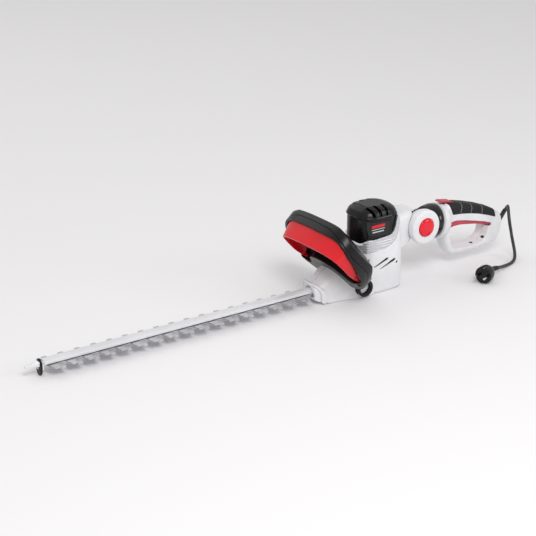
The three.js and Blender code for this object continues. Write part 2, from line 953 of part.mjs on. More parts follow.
function coolingFan() {
  const { fanBottom, fanHeight, fanRadius, shaftRadius } = motor;
  const disc = rod(fanRadius, fanBottom, fanBottom + 1.6, "z", [motorX, 0, 0], 24);
  const hub = rod(8, fanBottom, fanBottom + fanHeight, "z", [motorX, 0, 0], 24);
  const blade = box(-0.8, 0.8, 6, fanRadius - 1, fanBottom + 1, fanBottom + fanHeight - 1);
  const vanes = [];
  for (let i = 0; i < 8; i += 1) {
    const geometry = geometryOf(blade);
    geometry.rotateZ((i / 8) * 2 * Math.PI);
    geometry.translate(motorX, 0, 0);
    vanes.push(solid(geometry));
  }
  const bore = rod(shaftRadius + gap, 0, 200, "z", [motorX, 0, 0], 24);
  return cut(join(disc, hub, ...vanes), bore);
}

function brush(side) {
  const inner = motor.commutatorRadius + gap;
  const bottom = motor.commutatorBottom + 3;
  const outer = cap.halfWidth - wall - gap;
  const low = Math.min(side * inner, side * outer);
  const high = Math.max(side * inner, side * outer);
  return box(motorX - 4, motorX + 4, low, high, bottom, bottom + 9);
}

// ---- Crank and blades ----

function crankShaft() {
  const shaftTop = gearCase.top - 1.5 - gap;
  const collarBottom = bladeZ.upperTop + gap;
  const collarTop = gearCase.floorBottom - gap;
  const headTop = bladeZ.lower - gap;
  const profile = [
    [0, headTop - 3.5],
    [6.5, headTop - 3.5],
    [6.5, headTop],
    [crank.shaftRadius, headTop],
    [crank.shaftRadius, collarBottom],
    [7, collarBottom],
    [7, collarTop],
    [crank.shaftRadius, collarTop],
    [crank.shaftRadius, shaftTop],
    [0, shaftTop],
  ];
  return turned(profile, "z", [gears.driveX, 0, 0], 24);
}

function cam(bottom, side) {
  const centre = [gears.driveX, side * blades.stroke, 0];
  const disc = rod(crank.camRadius, bottom, bottom + blades.thickness, "z", centre, 32);
  return cut(disc, rod(crank.shaftRadius + gap, 0, 60, "z", [gears.driveX, 0, 0], 24));
}

// One blade: toothed bar, plain shank and the yoke that the cam runs in.
function blade(bottom, shift) {
  const { firstTooth, toothPitch, toothCount, toothTip, toothRoot, rootHalf, tipHalf, stroke } = blades;
  const windowHalfX = camSweep + stroke + 1;
  const windowHalfY = camSweep + 0.5;
  const rim = 4;
  const yokeFront = gears.driveX - windowHalfX - rim;
  const yokeRear = gears.driveX + windowHalfX + rim;
  const yokeHalf = windowHalfY + rim;
  const side = [[firstTooth - blades.frontEnd, toothRoot]];
  for (let k = 0; k < toothCount; k += 1) {
    const x = firstTooth + k * toothPitch + shift;
    side.push([x - rootHalf, toothRoot], [x - tipHalf, toothTip]);
    side.push([x + tipHalf, toothTip], [x + rootHalf, toothRoot]);
  }
  side.push([yokeFront - 10, toothRoot], [yokeFront, yokeHalf], [yokeRear, yokeHalf]);
  const shape = outline([...side, ...side.toReversed().map(([x, y]) => [x, -y])]);
  const window = outline([
    [gears.driveX - windowHalfX, -windowHalfY],
    [gears.driveX + windowHalfX, -windowHalfY],
    [gears.driveX + windowHalfX, windowHalfY],
    [gears.driveX - windowHalfX, windowHalfY],
  ]);
  shape.holes.push(new THREE.Path(window.getPoints()));
  for (const x of bolt.positions) {
    const halfSlot = stroke + 1;
    const hole = new THREE.Path();
    hole.absarc(x + halfSlot, 0, bolt.radius + gap, -Math.PI / 2, Math.PI / 2, false);
    hole.absarc(x - halfSlot, 0, bolt.radius + gap, Math.PI / 2, (3 * Math.PI) / 2, false);
    hole.closePath();
    shape.holes.push(hole);
  }
  return plateXY(shape, bottom, bottom + blades.thickness);
}

function barCover() {
  const front = tip.plateX + tip.plateThickness + tip.flange + 2 * gap;
  const shape = coverOutline(0);
  const cavity = [
    [cover.cavityHalf, cover.bottom + cover.web],
    [cover.cavityHalf, cover.shoulder + 1.5],
    [cover.cavityHalf - 1.6, cover.top - 1.9],
    [1.6 - cover.cavityHalf, cover.top - 1.9],
    [-cover.cavityHalf, cover.shoulder + 1.5],
    [-cover.cavityHalf, cover.bottom + cover.web],
  ];
  shape.holes.push(new THREE.Path(outline(cavity).getPoints()));
  const webTop = cover.bottom + cover.web;
  const bores = bolt.positions.map((x) => rod(bolt.radius + gap, 10, webTop + 1, "z", [x, 0, 0], 16));
  return cut(plateYZ(shape, front, cover.rearX), ...bores);
}

function bladeBolt(x) {
  const headTop = bladeZ.lower - gap;
  const rivetBottom = cover.bottom + cover.web + gap;
  const shank = rod(bolt.radius, headTop - 0.5, rivetBottom + 0.5, "z", [x, 0, 0], 16);
  const head = rod(bolt.headRadius, headTop - bolt.headHeight, headTop, "z", [x, 0, 0], 6);
  const rivet = rod(bolt.rivetRadius, rivetBottom, rivetBottom + 1.8, "z", [x, 0, 0], 16);
  return join(shank, head, rivet);
}

// ---- Blade tip ----

// The stretch along the tool that cuts through the tip plate and its guard.
function tipSpan() {
  return [tip.plateX - 60, tip.tenonRear + 60];
}

function tipHole() {
  return rod(tip.screwRadius + gap, ...tipSpan(), "x", [0, 0, tip.screwHeight], 16);
}

function tipPlate() {
  const middle = tip.plateTop / 2;
  const radius = tip.plateHalf;
  const shape = new THREE.Shape();
  shape.absarc(0, middle + middle - radius, radius, 0, Math.PI, false);
  shape.absarc(0, radius, radius, Math.PI, 2 * Math.PI, false);
  const body = plateYZ(shape, tip.plateX, tip.plateX + tip.plateThickness, { rounding: 1, steps: 1 });
  const half = tip.tenonHalf + gap;
  const passage = box(...tipSpan(), -half, half, tip.tenonBottom - gap, tip.tenonTop + gap);
  return cut(body, passage, tipHole());
}

function tipGuard() {
  const { tenonHalf, tenonBottom, tenonTop, tenonRear, flange, plateX, plateThickness, noseLength } = tip;
  const tenon = box(plateX - 2, tenonRear, -tenonHalf, tenonHalf, tenonBottom, tenonTop);
  const flangeFront = plateX + plateThickness + gap;
  const back = box(flangeFront, flangeFront + flange, -8, 8, tip.screwHeight - 4, tenonTop + 0.6);
  const tipRing = (x, half, bottom, top) => [
    new THREE.Vector3(x, half, bottom),
    new THREE.Vector3(x, half, top),
    new THREE.Vector3(x, -half, top),
    new THREE.Vector3(x, -half, bottom),
  ];
  const front = plateX - gap;
  const snout = loft([
    tipRing(front, tenonHalf + 2, tenonBottom - 4, tenonTop + 1),
    tipRing(front - 6, tenonHalf + 1, tenonBottom - 4, tenonTop - 1.5),
    tipRing(plateX - noseLength, 3, tenonBottom - 3.5, tenonBottom + 0.5),
  ]);
  return cut(join(tenon, back, snout), tipHole());
}

function tipScrew() {
  const rear = tip.plateX + tip.plateThickness + gap + tip.flange;
  const profile = [
    [0, tip.plateX - gap - 1.8],
    [2, tip.plateX - gap - 1.8],
    [3, tip.plateX - gap - 0.8],
    [3, tip.plateX - gap],
    [tip.screwRadius, tip.plateX - gap],
    [tip.screwRadius, rear],
    [0, rear],
  ];
  return turned(profile, "x", [0, 0, tip.screwHeight], 10);
}

// ---- Hooped front handle ----

function hoopOutline() {
  const right = [
    [0, 181.5],
    [48, 180],
    [80, 173.5],
    [97, 160],
    [105, 138],
    [105, 112],
    [102, 88],
    [95, 62],
    [84, 44],
    [66, 32],
    [50, 25],
    [0, 22],
  ];
  return outline(smooth(mirrored(right)));
}

function handOpening() {
  const right = [
    [0, 153],
    [42, 152],
    [70, 144],
    [85, 125],
    [89, 98],
    [86, 78],
    [74, 66],
    [58, 70],
    [48, 90],
    [30, 108],
    [0, 113],
  ];
  return outline(mirrored(right));
}

function hoopRing() {
  const ring = cut(
    plateBail(hoopOutline(), 0, bail.depth, { rounding: bail.rounding }),
    plateBail(handOpening(), -5, bail.depth + 5),
  );
  return cut(ring.intersect(hoopBefore(0)), bodyBlock(gap), silverKeepOut());
}

// Everything in front of the hoop's rear face, which comes forward towards the legs.
function hoopBefore(offset) {
  const right = [
    [0, bail.depth + 1],
    [50, bail.depth],
    [72, bail.depth - 4],
    [92, bail.depth - 12.5],
    [104, bail.depth - 20],
    [160, bail.depth - 56],
  ];
  const left = right.slice(1).toReversed().map(([x, depth]) => [-x, depth]);
  const rear = [...left, ...right].map(([x, depth]) => [x, depth - offset]);
  const geometry = plate(outline([...rear, [160, -60], [-160, -60]]), -60, 300);
  const upright = new THREE.Matrix4().makeBasis(
    new THREE.Vector3(1, 0, 0),
    new THREE.Vector3(0, 0, 1),
    new THREE.Vector3(0, 1, 0),
  );
  geometry.applyMatrix4(upright);
  geometry.applyMatrix4(bailFrame);
  return solid(geometry).intersect(legsBefore(offset));
}

// The same for the legs, whose rear face comes forward again towards their lower end.
function legsBefore(offset) {
  const rear = [
    [-40, 30],
    [54, 30],
    [65, 38],
    [78, 44],
    [112, 54],
    [150, 70],
    [300, 100],
  ];
  const shape = outline([...rear.map(([up, depth]) => [up, depth - offset]), [300, -60], [-40, -60]]);
  return acrossBail(shape, -200, 200);
}

// A plate that stands along the tool in the bail frame: its outline is [up, depth].
function acrossBail(shape, x0, x1) {
  const geometry = plate(shape, x0, x1);
  const frame = new THREE.Matrix4().makeBasis(
    new THREE.Vector3(0, 1, 0),
    new THREE.Vector3(0, 0, 1),
    new THREE.Vector3(1, 0, 0),
  );
  geometry.applyMatrix4(frame);
  geometry.applyMatrix4(bailFrame);
  return solid(geometry);
}

function silverKeepOut() {
  return columnForm(-band.proud - gap);
}

// The part of the hoop in front of the switch bar, which the bar takes the place of.
function barRoom() {
  const points = [
    [74, -20],
    [74, 7],
    [115, barRear - 17.6],
    [142, barRear - 13.5],
    [160, barRear - 7],
    [171, barRear - 1.5],
    [260, barRear - 1.5],
    [260, -20],
  ];
  const lowerBar = bailLocalBox(-80, 80, -20, 125, -30, 80);
  return cut(acrossBail(outline(points), -200, 200), lowerBar);
}

// The spans across the hoop of the switch bar's two ears, longer by grow at either end.
function earSpans(grow) {
  const outer = halfAt(hoopOutline(), bar.hingeUp) - bar.earInset;
  const inner = outer - bar.earWidth;
  return [
    [-outer - grow, -inner + grow],
    [inner - grow, outer + grow],
  ];
}

// How far an outline reaches from its middle line at the given height.
function halfAt(shape, up) {
  const points = shape.getPoints();
  const next = points.findIndex((point, i) => i > 0 && point.x > 0 && point.y <= up && points[i - 1].y > up);
  const from = points[next - 1];
  const to = points[next];
  return from.x + ((to.x - from.x) * (up - from.y)) / (to.y - from.y);
}

// A band that follows the hoop, from its [depth, inset] levels and its thickness.
function insetBand(levels, thickness) {
  const past = [[levels[0][0] - 1, levels[0][1]], ...levels, [levels.at(-1)[0] + 1, levels.at(-1)[1]]];
  const inner = past.map(([depth, inset]) => [depth, inset + thickness]);
  return cut(insetLoft(levels), insetLoft(inner));
}

function insetLoft(levels) {
  const geometry = loftGeometry(levels.map(([depth, inset]) => insetRing(depth, inset)));
  geometry.applyMatrix4(bailFrame);
  return solid(geometry);
}

// The hoop's outline moved inwards, as a ring of points.
function insetRing(depth, inset) {
  const points = hoopOutline().getPoints();
  const count = points.length - 1;
  const ring = [];
  for (let i = 0; i < count; i += 1) {
    const before = points[(i + count - 1) % count];
    const after = points[(i + 1) % count];
    const along = after.clone().sub(before).normalize();
    ring.push(new THREE.Vector3(points[i].x + along.y * inset, points[i].y - along.x * inset, depth));
  }
  return ring;
}

function bailLocalBox(x0, x1, up0, up1, depth0, depth1) {
  const geometry = new THREE.BoxGeometry(x1 - x0, up1 - up0, depth1 - depth0);
  geometry.translate((x0 + x1) / 2, (up0 + up1) / 2, (depth0 + depth1) / 2);
  geometry.applyMatrix4(bailFrame);
  return solid(geometry);
}

function bailAcross(radius, x0, x1, up, depth, sides = 20) {
  const geometry = new THREE.CylinderGeometry(radius, radius, x1 - x0, sides);
  geometry.rotateZ(Math.PI / 2);
  geometry.translate((x0 + x1) / 2, up, depth);
  geometry.applyMatrix4(bailFrame);
  return solid(geometry);
}

const barTop = 175;

// Room in the hoop for the bar at rest and pressed in, when it also leans a little inwards.
function barPocket() {
  const { hingeUp, hingeDepth, frontInset, rearInset, thickness, clearance } = bar;
  const pressed = THREE.MathUtils.degToRad(bar.travel);
  const grooveRear = barRear + (barTop - hingeUp) * Math.sin(pressed) + clearance;
  const lean = (barRear - hingeDepth) * Math.sin(pressed);
  const slope = ((frontInset - rearInset) * (grooveRear - barRear)) / barRear;
  const groove = insetBand(
    [
      [-2, frontInset + ((frontInset - rearInset) * 2) / barRear - clearance],
      [barRear, rearInset - clearance],
      [grooveRear, rearInset - clearance],
    ],
    thickness + 2 * clearance + lean + slope,
  );
  const above = bailLocalBox(-200, 200, hingeUp + 4, 260, -20, grooveRear + 5);
  const ears = earSpans(clearance).map(([low, high]) =>
    bailLocalBox(low, high, hingeUp - 7, hingeUp + 16, 1.2, hingeDepth + 12),
  );
  const bore = earSpans(3).map(([low, high]) =>
    bailAcross(bar.studRadius + gap, low, high, hingeUp, hingeDepth),
  );
  return join(groove.intersect(above), ...ears, ...bore);
}

function eyeRod(radius, half) {
  return rod(radius, eye.y - half, eye.y + half, "y", [eye.x, 0, eye.z], 32);
}

function bailFront() {
  const front = hoopRing().intersect(hoopBefore(bail.rearShell));
  const ring = cut(eyeRod(eye.outer, eye.thickness / 2), eyeRod(eye.inner, eye.thickness), bodyBlock(gap));
  return join(cut(front, barRoom(), barPocket(), eyeRod(eye.inner, eye.thickness)), ring);
}

function bailRear() {
  const rear = cut(hoopRing(), hoopBefore(bail.rearShell - gap));
  const inset = bail.wall + 4;
  const cavity = cut(
    plateBail(hoopOutline(), bailSeam() - 2, bail.depth - bail.wall, { rounding: 0, offset: -inset }),
    plateBail(handOpening(), -5, bail.depth + 5, { rounding: 0, offset: inset }),
  );
  const top = bailLocalBox(-60, 60, 120, 260, -20, 80);
  return cut(rear, cavity.intersect(top), barPocket(), eyeRod(eye.outer + gap, eye.thickness / 2 + gap));
}

function bailSeam() {
  return bail.depth - bail.rearShell;
}

function bailSwitch() {
  const rear = bail.depth - bail.wall - gap;
  return bailLocalBox(-12, 12, 161.5, 172, bailSeam() + 2.6, rear);
}

function switchBar() {
  const levels = [
    [0, bar.frontInset],
    [barRear, bar.rearInset],
  ];
  const strip = insetBand(levels, bar.thickness);
  const above = bailLocalBox(-200, 200, bar.hingeUp + 6, 260, -20, 60);
  const trimmed = strip.intersect(above);
  const ears = earSpans(0).map(([low, high]) =>
    bailLocalBox(low, high, bar.hingeUp - 4, bar.hingeUp + 11, 2, bar.hingeDepth + 6),
  );
  const studs = earSpans(2.5).map(([low, high]) =>
    bailAcross(bar.studRadius, low, high, bar.hingeUp, bar.hingeDepth),
  );
  return join(trimmed, ...ears, ...studs);
}

// ---- Swivel: drums, pin, button and collar, in the rear unit's frame (pivot at the origin) ----

function drumBody(side, radius, waist, outer) {
  const { inner, rounding } = drum;
  const profile = [
    [0, inner],
    [waist, inner],
    [radius, inner + 12],
    [radius, outer - rounding],
    [radius - rounding * 0.3, outer - rounding * 0.3],
    [radius - rounding, outer],
    [0, outer],
  ];
  const placed = profile.map(([r, y]) => [r, side * y]);
  return turned(placed, "y", [0, 0, 0], 32);
}

function drumLeft() {
  const well = rod(button.radius + gap, -drum.outer - 1, -drum.inner - drum.web, "y", [0, 0, 0], 32);
  const hole = rod(pivot.pinRadius + gap, -drum.outer, 0, "y", [0, 0, 0], 24);
  return cut(drumBody(-1, drum.radius, drum.waist, drum.outer), well, hole);
}

function drumRight() {
  const { rightRadius, rightOuter } = drum;
  const hole = rod(pivot.pinRadius + gap, 0, rightOuter - 5, "y", [0, 0, 0], 24);
  return cut(drumBody(1, rightRadius, rightRadius - 2, rightOuter), hole);
}

function pivotPin() {
  return rod(pivot.pinRadius, gap - drum.inner - drum.web, drum.rightOuter - 5 - gap, "y", [0, 0, 0], 24);
}

function lockButton() {
  const back = -drum.outer + button.height;
  const profile = [
    [0, back],
    [button.radius, back],
    [button.radius, -drum.outer - 0.4],
    [button.radius * 0.93, -drum.outer - button.dome * 0.5],
    [button.radius * 0.6, -drum.outer - button.dome * 0.9],
    [0, -drum.outer - button.dome],
  ];
  return turned(profile, "y", [0, 0, 0], 32);
}

function lockSpring() {
  const bottom = -drum.inner - drum.web - gap;
  const top = -drum.outer + button.height + gap;
  const geometry = helix(9, 4, bottom - top, 0.9);
  geometry.rotateX(Math.PI / 2);
  geometry.translate(0, bottom, 0);
  return solid(geometry);
}

function swivelCollar() {
  const { collarFront, collarRear, collarRadius, spigotRadius, bore } = swivel;
  const { flangeRadius, flangeFront, flangeRear } = swivel;
  const profile = [
    [bore, collarFront],
    [collarRadius - 5.5, collarFront],
    [collarRadius - 2.5, collarFront + 9],
    [collarRadius, collarFront + 17],
    [collarRadius, collarRear],
    [spigotRadius, collarRear],
    [spigotRadius, flangeFront],
    [flangeRadius, flangeFront],
    [flangeRadius, flangeRear],
    [bore, flangeRear],
    [bore, collarFront],
  ];
  const body = turned(profile, "x", [0, 0, 0], 32);
  const nearDrum = rod(drum.radius + gap + 0.1, -80, 0, "y", [0, 0, 0], 32);
  const farDrum = rod(drum.rightRadius + gap + 0.1, -1, 80, "y", [0, 0, 0], 32);
  return cut(body, nearDrum, farDrum);
}

function swivelRing() {
  const { collarRear, ringRear, ringRadius, spigotRadius } = swivel;
  const inner = spigotRadius + gap;
  const profile = [
    [inner, collarRear + gap],
    [ringRadius - 1.2, collarRear + gap],
    [ringRadius, collarRear + gap + 1.2],
    [ringRadius, ringRear - 1],
    [ringRadius - 1, ringRear],
    [inner, ringRear],
    [inner, collarRear + gap],
  ];
  return turned(profile, "x", [0, 0, 0], 32);
}

// ---- Rear handle ----

function handleOutline() {
  return [
    [70, 33],
    [80, 37.5],
    [92, 38.6],
    [108, 38.4],
    [131, 37],
    [163, 33.5],
    [196, 27.5],
    [218, 20.5],
    [231, 12],
    [237, -1],
    [238, -20],
    [233, -38],
    [219, -49],
    [190, -57],
    [160, -63.5],
    [130, -69],
    [112, -71],
    [100, -65],
    [89, -48],
    [80, -30],
    [73, -12],
    [69, 10],
  ];
}

function handleOpening() {
  return [
    [93, 0],
    [92, -15],
    [94, -31],
    [102, -48],
    [110, -56],
    [120, -57.5],
    [146, -53.5],
    [170, -48.5],
    [187, -42],
    [195, -32],
    [196.5, -19],
    [197.5, -12],
    [206, -8.5],
    [203, -4],
    [185, -1],
    [160, 1],
    [130, 3],
    [105, 3],
  ];
}

function handleForm(offset, half, rounding) {
  const body = plateXZ(outline(handleOutline()), -half, half, { rounding, offset });
  return cut(body, openingCutter(-offset));
}

function hubForm(inset) {
  const front = inset > 0 ? swivel.flangeFront - gap : handle.front;
  const profile = [
    [0, front],
    [handle.hubRadius - inset, front],
    [handle.hubRadius - inset, 69],
    [handle.hubRadius - 2 - inset, 76],
    [handle.hubRadius - 8 - inset, 84],
    [16 - inset, 89 - inset],
    [0, 89 - inset],
  ];
  return turned(profile, "x", [0, 0, 0], 32);
}

function openingCutter(offset = 0) {
  return plateXZ(outline(handleOpening()), -60, 60, { offset });
}

// The stretch of the upper bar that the soft grip wraps.
function gripZone(grow) {
  const points = [
    [80 - grow, 60],
    [80 - grow, 36],
    [86 - grow, 26],
    [93 - grow, 15.5 - grow],
    [115, 17.5 - grow],
    [139, 17.8 - grow],
    [165, 16.5 - grow],
    [190, 13 - grow],
    [211 + grow, 9 - grow],
    [208 + grow, 20],
    [206 + grow, 60],
  ];
  return plateXZ(outline(points), -60, 60);
}

function softGrip() {
  const outer = handleForm(grip.proud, handle.half + grip.proud, handle.rounding + grip.proud);
  const inner = handleForm(-grip.depth, handle.half - grip.depth, handle.rounding - grip.depth);
  const skin = cut(outer, inner).intersect(gripZone(0));
  const grooves = grip.grooves.map((x) => {
    const half = grip.grooveWidth / 2;
    const slotBox = box(x - half, x + half, -60, 60, 0, 60);
    return cut(slotBox, handleForm(0, handle.half, handle.rounding));
  });
  return cut(skin, ...grooves, slideSlot(), slideFlat());
}

function gripRecess() {
  const inner = handleForm(-grip.depth - gap, handle.half - grip.depth - gap, handle.rounding - grip.depth);
  return cut(gripZone(gap), inner);
}

function triggerOutline() {
  return [
    [95, 9],
    [97, 6],
    [130, 6],
    [170, 3],
    [205, 1],
    [217, -1.5],
    [218.5, -9],
    [210, -11.5],
    [196, -8.6],
    [160, -6.8],
    [123, -7.5],
    [108, -10],
    [95, -14],
  ];
}

// Everything the trigger sweeps between rest and fully pressed, with its running clearance.
function triggerRoom() {
  const points = [
    [93.5, 19],
    [93.5, -15],
    [98, -15],
    [196, -9.6],
    [209, -12.6],
    [220.5, -10],
    [219, 1],
    [205, 4.5],
    [170, 8],
    [130, 14],
    [108, 19],
  ];
  const room = plateXZ(outline(points), -trigger.half - 0.4, trigger.half + 0.4);
  return join(room, triggerStuds(gap));
}

function triggerBody() {
  const body = plateXZ(outline(triggerOutline()), -trigger.half, trigger.half, { rounding: 1.2, steps: 2 });
  return join(body, triggerStuds(0));
}

// The hinge studs on both sides of the trigger, or with grow the holes that they turn in.
function triggerStuds(grow) {
  const half = trigger.half + trigger.studLength + grow;
  return rod(trigger.studRadius + grow, -half, half, "y", [trigger.hingeX, 0, trigger.hingeZ], 16);
}

function slideSlot() {
  const { stemX, stemLength, travel, bottom } = slide;
  const half = stemLength / 2;
  return box(stemX - half - travel - 0.4, stemX + half + 0.4, -4 - gap, 4 + gap, 25, bottom + 2);
}

// The flat that the slide's deck runs on.
function slideFlat() {
  const { frontX, rearX, travel, half, bottom } = slide;
  return box(frontX - travel - 2, rearX + 1, -half - 1.5, half + 1.5, bottom - gap, 60);
}

function lockSlide() {
  const { frontX, rearX, half, bottom, thickness, stemX, stemLength } = slide;
  const top = bottom + thickness;
  const points = [
    [frontX, bottom],
    [frontX, top - 1.6],
    [frontX + 3, top],
    [rearX - 8, top],
    [rearX, bottom + 1],
    [rearX, bottom],
  ];
  const deck = plateXZ(outline(points), -half, half);
  const stem = box(stemX - stemLength / 2, stemX + stemLength / 2, -4, 4, 36, bottom + 1);
  return join(deck, stem);
}

function cordOutlet() {
  const lift = 0.3;
  const curve = new THREE.CatmullRomCurve3(reliefRoute.map(([x, y, z]) => new THREE.Vector3(x, y, z)));
  const sleeve = taperedSleeve(curve, 10, cord.reliefBase + lift, cord.reliefEnd + lift);
  const geometry = geometryOf(sleeve);
  geometry.applyMatrix4(rearFrame().invert());
  return solid(geometry);
}

function handleShell() {
  const cavity = handleForm(-handle.wall, handle.cavityHalf, 0);
  const hubCavity = hubForm(4);
  const bore = rod(swivel.spigotRadius + gap, 60, 80, "x", [0, 0, 0], 32);
  const front = box(handle.front, far, -far, far, -far, far);
  const hub = cut(hubForm(0), openingCutter());
  const outside = join(handleForm(0, handle.half, handle.rounding), hub).intersect(front);
  const shell = cut(outside, cavity, hubCavity, bore);
  return cut(shell, gripRecess(), triggerRoom(), slideSlot(), slideFlat(), cordOutlet());
}

function mainSwitch() {
  const { frontX, rearX, bottom, top } = rearSwitch;
  const half = handle.cavityHalf - gap;
  return box(frontX, rearX, -half, half, bottom + 3, top - 2);
}

function rearFrame() {
  const frame = new THREE.Matrix4().makeRotationY(THREE.MathUtils.degToRad(pivot.tilt));
  frame.setPosition(pivot.x, 0, pivot.z);
  return frame;
}

// ---- Cord and plug ----

function strainRelief() {
  const curve = new THREE.CatmullRomCurve3(reliefRoute.map(([x, y, z]) => new THREE.Vector3(x, y, z)));
  return taperedSleeve(curve, 10, cord.reliefBase, cord.reliefEnd);
}

function cordBody() {
  const curve = new THREE.CatmullRomCurve3(cordRoute.map(([x, y, z]) => new THREE.Vector3(x, y, z)));
  return sweptTube(curve, 34, cord.radius, 8);
}

// The plug lies on the floor with its pins towards the blade; its own frame has +X out of its face.
function plugFrame() {
  const frame = new THREE.Matrix4().makeRotationZ(Math.PI + THREE.MathUtils.degToRad(plug.heading));
  frame.setPosition(plug.faceX, plug.faceY, plug.radius + 0.3);
  return frame;
}

// Where the cord ends and which way it runs there, in the plug's frame.
function cordEndInPlug() {
  const toPlug = plugFrame().invert();
  const end = new THREE.Vector3(...cordRoute.at(-1)).applyMatrix4(toPlug);
  const before = new THREE.Vector3(...cordRoute.at(-2)).applyMatrix4(toPlug);
  return { end, along: end.clone().sub(before).normalize() };
}

function plugBody() {
  const { radius, length, pinPitch } = plug;
  const profile = [
    [0, -length],
    [7, -length],
    [10, -length + 6],
    [15.5, -length + 14],
    [radius, -length + 22],
    [radius, -1],
    [radius - 1, 0],
    [0, 0],
  ];
  const { end, along } = cordEndInPlug();
  const neckCurve = new THREE.CatmullRomCurve3([
    new THREE.Vector3(-length + 3, 0, 0),
    new THREE.Vector3(-length - 6, end.y * 0.3, end.z * 0.2),
    end.clone().addScaledVector(along, 10),
    end.clone().addScaledVector(along, gap),
  ]);
  const notches = [-1, 1].map((side) => {
    const low = Math.min(side * (radius - 3.2), side * (radius + 2));
    const high = Math.max(side * (radius - 3.2), side * (radius + 2));
    return box(-16, 2, -2.6, 2.6, low, high);
  });
  const bores = [-1, 1].map((side) =>
    rod(plug.pinRadius + gap, -10, 2, "x", [0, (side * pinPitch) / 2, 0], 16),
  );
  const body = join(turned(profile, "x", [0, 0, 0], 32), taperedSleeve(neckCurve, 6, 6.5, 4.3));
  return cut(body, ...notches, ...bores);
}

function plugPin(side) {
  const { pinRadius, pinLength, pinPitch } = plug;
  const profile = [
    [0, -10 + gap],
    [pinRadius, -10 + gap],
    [pinRadius, pinLength - 1.2],
    [pinRadius * 0.55, pinLength],
    [0, pinLength],
  ];
  return turned(profile, "x", [0, (side * pinPitch) / 2, 0], 16);
}

// ---- Assembly ----

const finishes = {
  whitePlastic: { color: 0xe2e3e6, roughness: 0.45, metalness: 0 },
  blackPlastic: { color: 0x2a282e, roughness: 0.5, metalness: 0 },
  glossBlack: { color: 0x121214, roughness: 0.15, metalness: 0 },
  softBlack: { color: 0x2d2b2e, roughness: 0.85, metalness: 0 },
  redPlastic: { color: 0xd7303a, roughness: 0.3, metalness: 0 },
  dullRed: { color: 0xc0404f, roughness: 0.4, metalness: 0 },
  silver: { color: 0xc9cad0, roughness: 0.35, metalness: 0.7 },
  aluminium: { color: 0xdcdde1, roughness: 0.35, metalness: 0.8 },
  castAlloy: { color: 0x9b9da3, roughness: 0.5, metalness: 0.8 },
  steel: { color: 0xa7a9ae, roughness: 0.3, metalness: 1 },
  brightSteel: { color: 0xc8c9cc, roughness: 0.2, metalness: 1 },
  copper: { color: 0xb5713f, roughness: 0.4, metalness: 0.9 },
  carbon: { color: 0x242424, roughness: 0.7, metalness: 0 },
  greyPlastic: { color: 0xc4c5c9, roughness: 0.45, metalness: 0 },
  rubber: { color: 0x3a3a3c, roughness: 0.75, metalness: 0 },
};

function addPiece(parent, name, shape, finish) {
  const geometry = shape.isBufferGeometry ? clean(shape) : geometryOf(shape);
  geometry.computeVertexNormals();
  const mesh = new THREE.Mesh(geometry, new THREE.MeshStandardMaterial(finish));
  mesh.name = name;
  parent.add(mesh);
}

function buildBody(root) {
  const shell = housing();
  const ring = silverBand();
  addPiece(root, "housing_left", halfOf(shell, -1), finishes.whitePlastic);
  addPiece(root, "housing_right", halfOf(shell, 1), finishes.whitePlastic);
  addPiece(root, "silver_band", ring, finishes.silver);
  addPiece(root, "motor_cap", motorCap(), finishes.blackPlastic);
  addPiece(root, "label_plate", labelPlate(), finishes.glossBlack);
  addPiece(root, "sole_plate", solePlate(), finishes.steel);
  screwPlaces().forEach(([x, y], i) => {
    addPiece(root, `sole_screw_${i + 1}`, screw(x, y), finishes.brightSteel);
  });
  addPiece(root, "gear_case_lower", gearCaseLower(), finishes.castAlloy);
  addPiece(root, "gear_case_cover", gearCaseCover(), finishes.castAlloy);
}

function buildMotor(root) {
  addPiece(root, "motor_stator", stator(), finishes.castAlloy);
  addPiece(root, "upper_bearing", ballBearing(motor.upperBearingBottom), finishes.brightSteel);
  addPiece(root, "lower_bearing", ballBearing(lowerBearingBottom()), finishes.brightSteel);
  addPiece(root, "carbon_brush_left", brush(-1), finishes.carbon);
  addPiece(root, "carbon_brush_right", brush(1), finishes.carbon);
  addPiece(root, "motor_shaft", motorShaft(), finishes.steel);
  addPiece(root, "armature_core", armature(), finishes.castAlloy);
  addPiece(root, "commutator", commutator(), finishes.copper);
  addPiece(root, "cooling_fan", coolingFan(), finishes.greyPlastic);
}

function buildCutter(root) {
  addPiece(root, "drive_gear", driveGear(), finishes.steel);
  addPiece(root, "crank_shaft", crankShaft(), finishes.steel);
  addPiece(root, "upper_cam", cam(bladeZ.upper, 1), finishes.brightSteel);
  addPiece(root, "lower_cam", cam(bladeZ.lower, -1), finishes.brightSteel);
  addPiece(root, "blade_upper", blade(bladeZ.upper, 0), finishes.steel);
  addPiece(root, "blade_lower", blade(bladeZ.lower, blades.lowerShift), finishes.steel);
  addPiece(root, "bar_cover", barCover(), finishes.aluminium);
  bolt.positions.forEach((x, i) => {
    addPiece(root, `blade_bolt_${i + 1}`, bladeBolt(x), finishes.brightSteel);
  });
  addPiece(root, "tip_plate", tipPlate(), finishes.blackPlastic);
  addPiece(root, "tip_guard", tipGuard(), finishes.aluminium);
  addPiece(root, "tip_screw", tipScrew(), finishes.brightSteel);
}

function buildHoop(root) {
  addPiece(root, "bail_front", bailFront(), finishes.blackPlastic);
  addPiece(root, "bail_rear", bailRear(), finishes.blackPlastic);
  addPiece(root, "bail_switch", bailSwitch(), finishes.carbon);
  addPiece(root, "switch_bar", switchBar(), finishes.redPlastic);
}

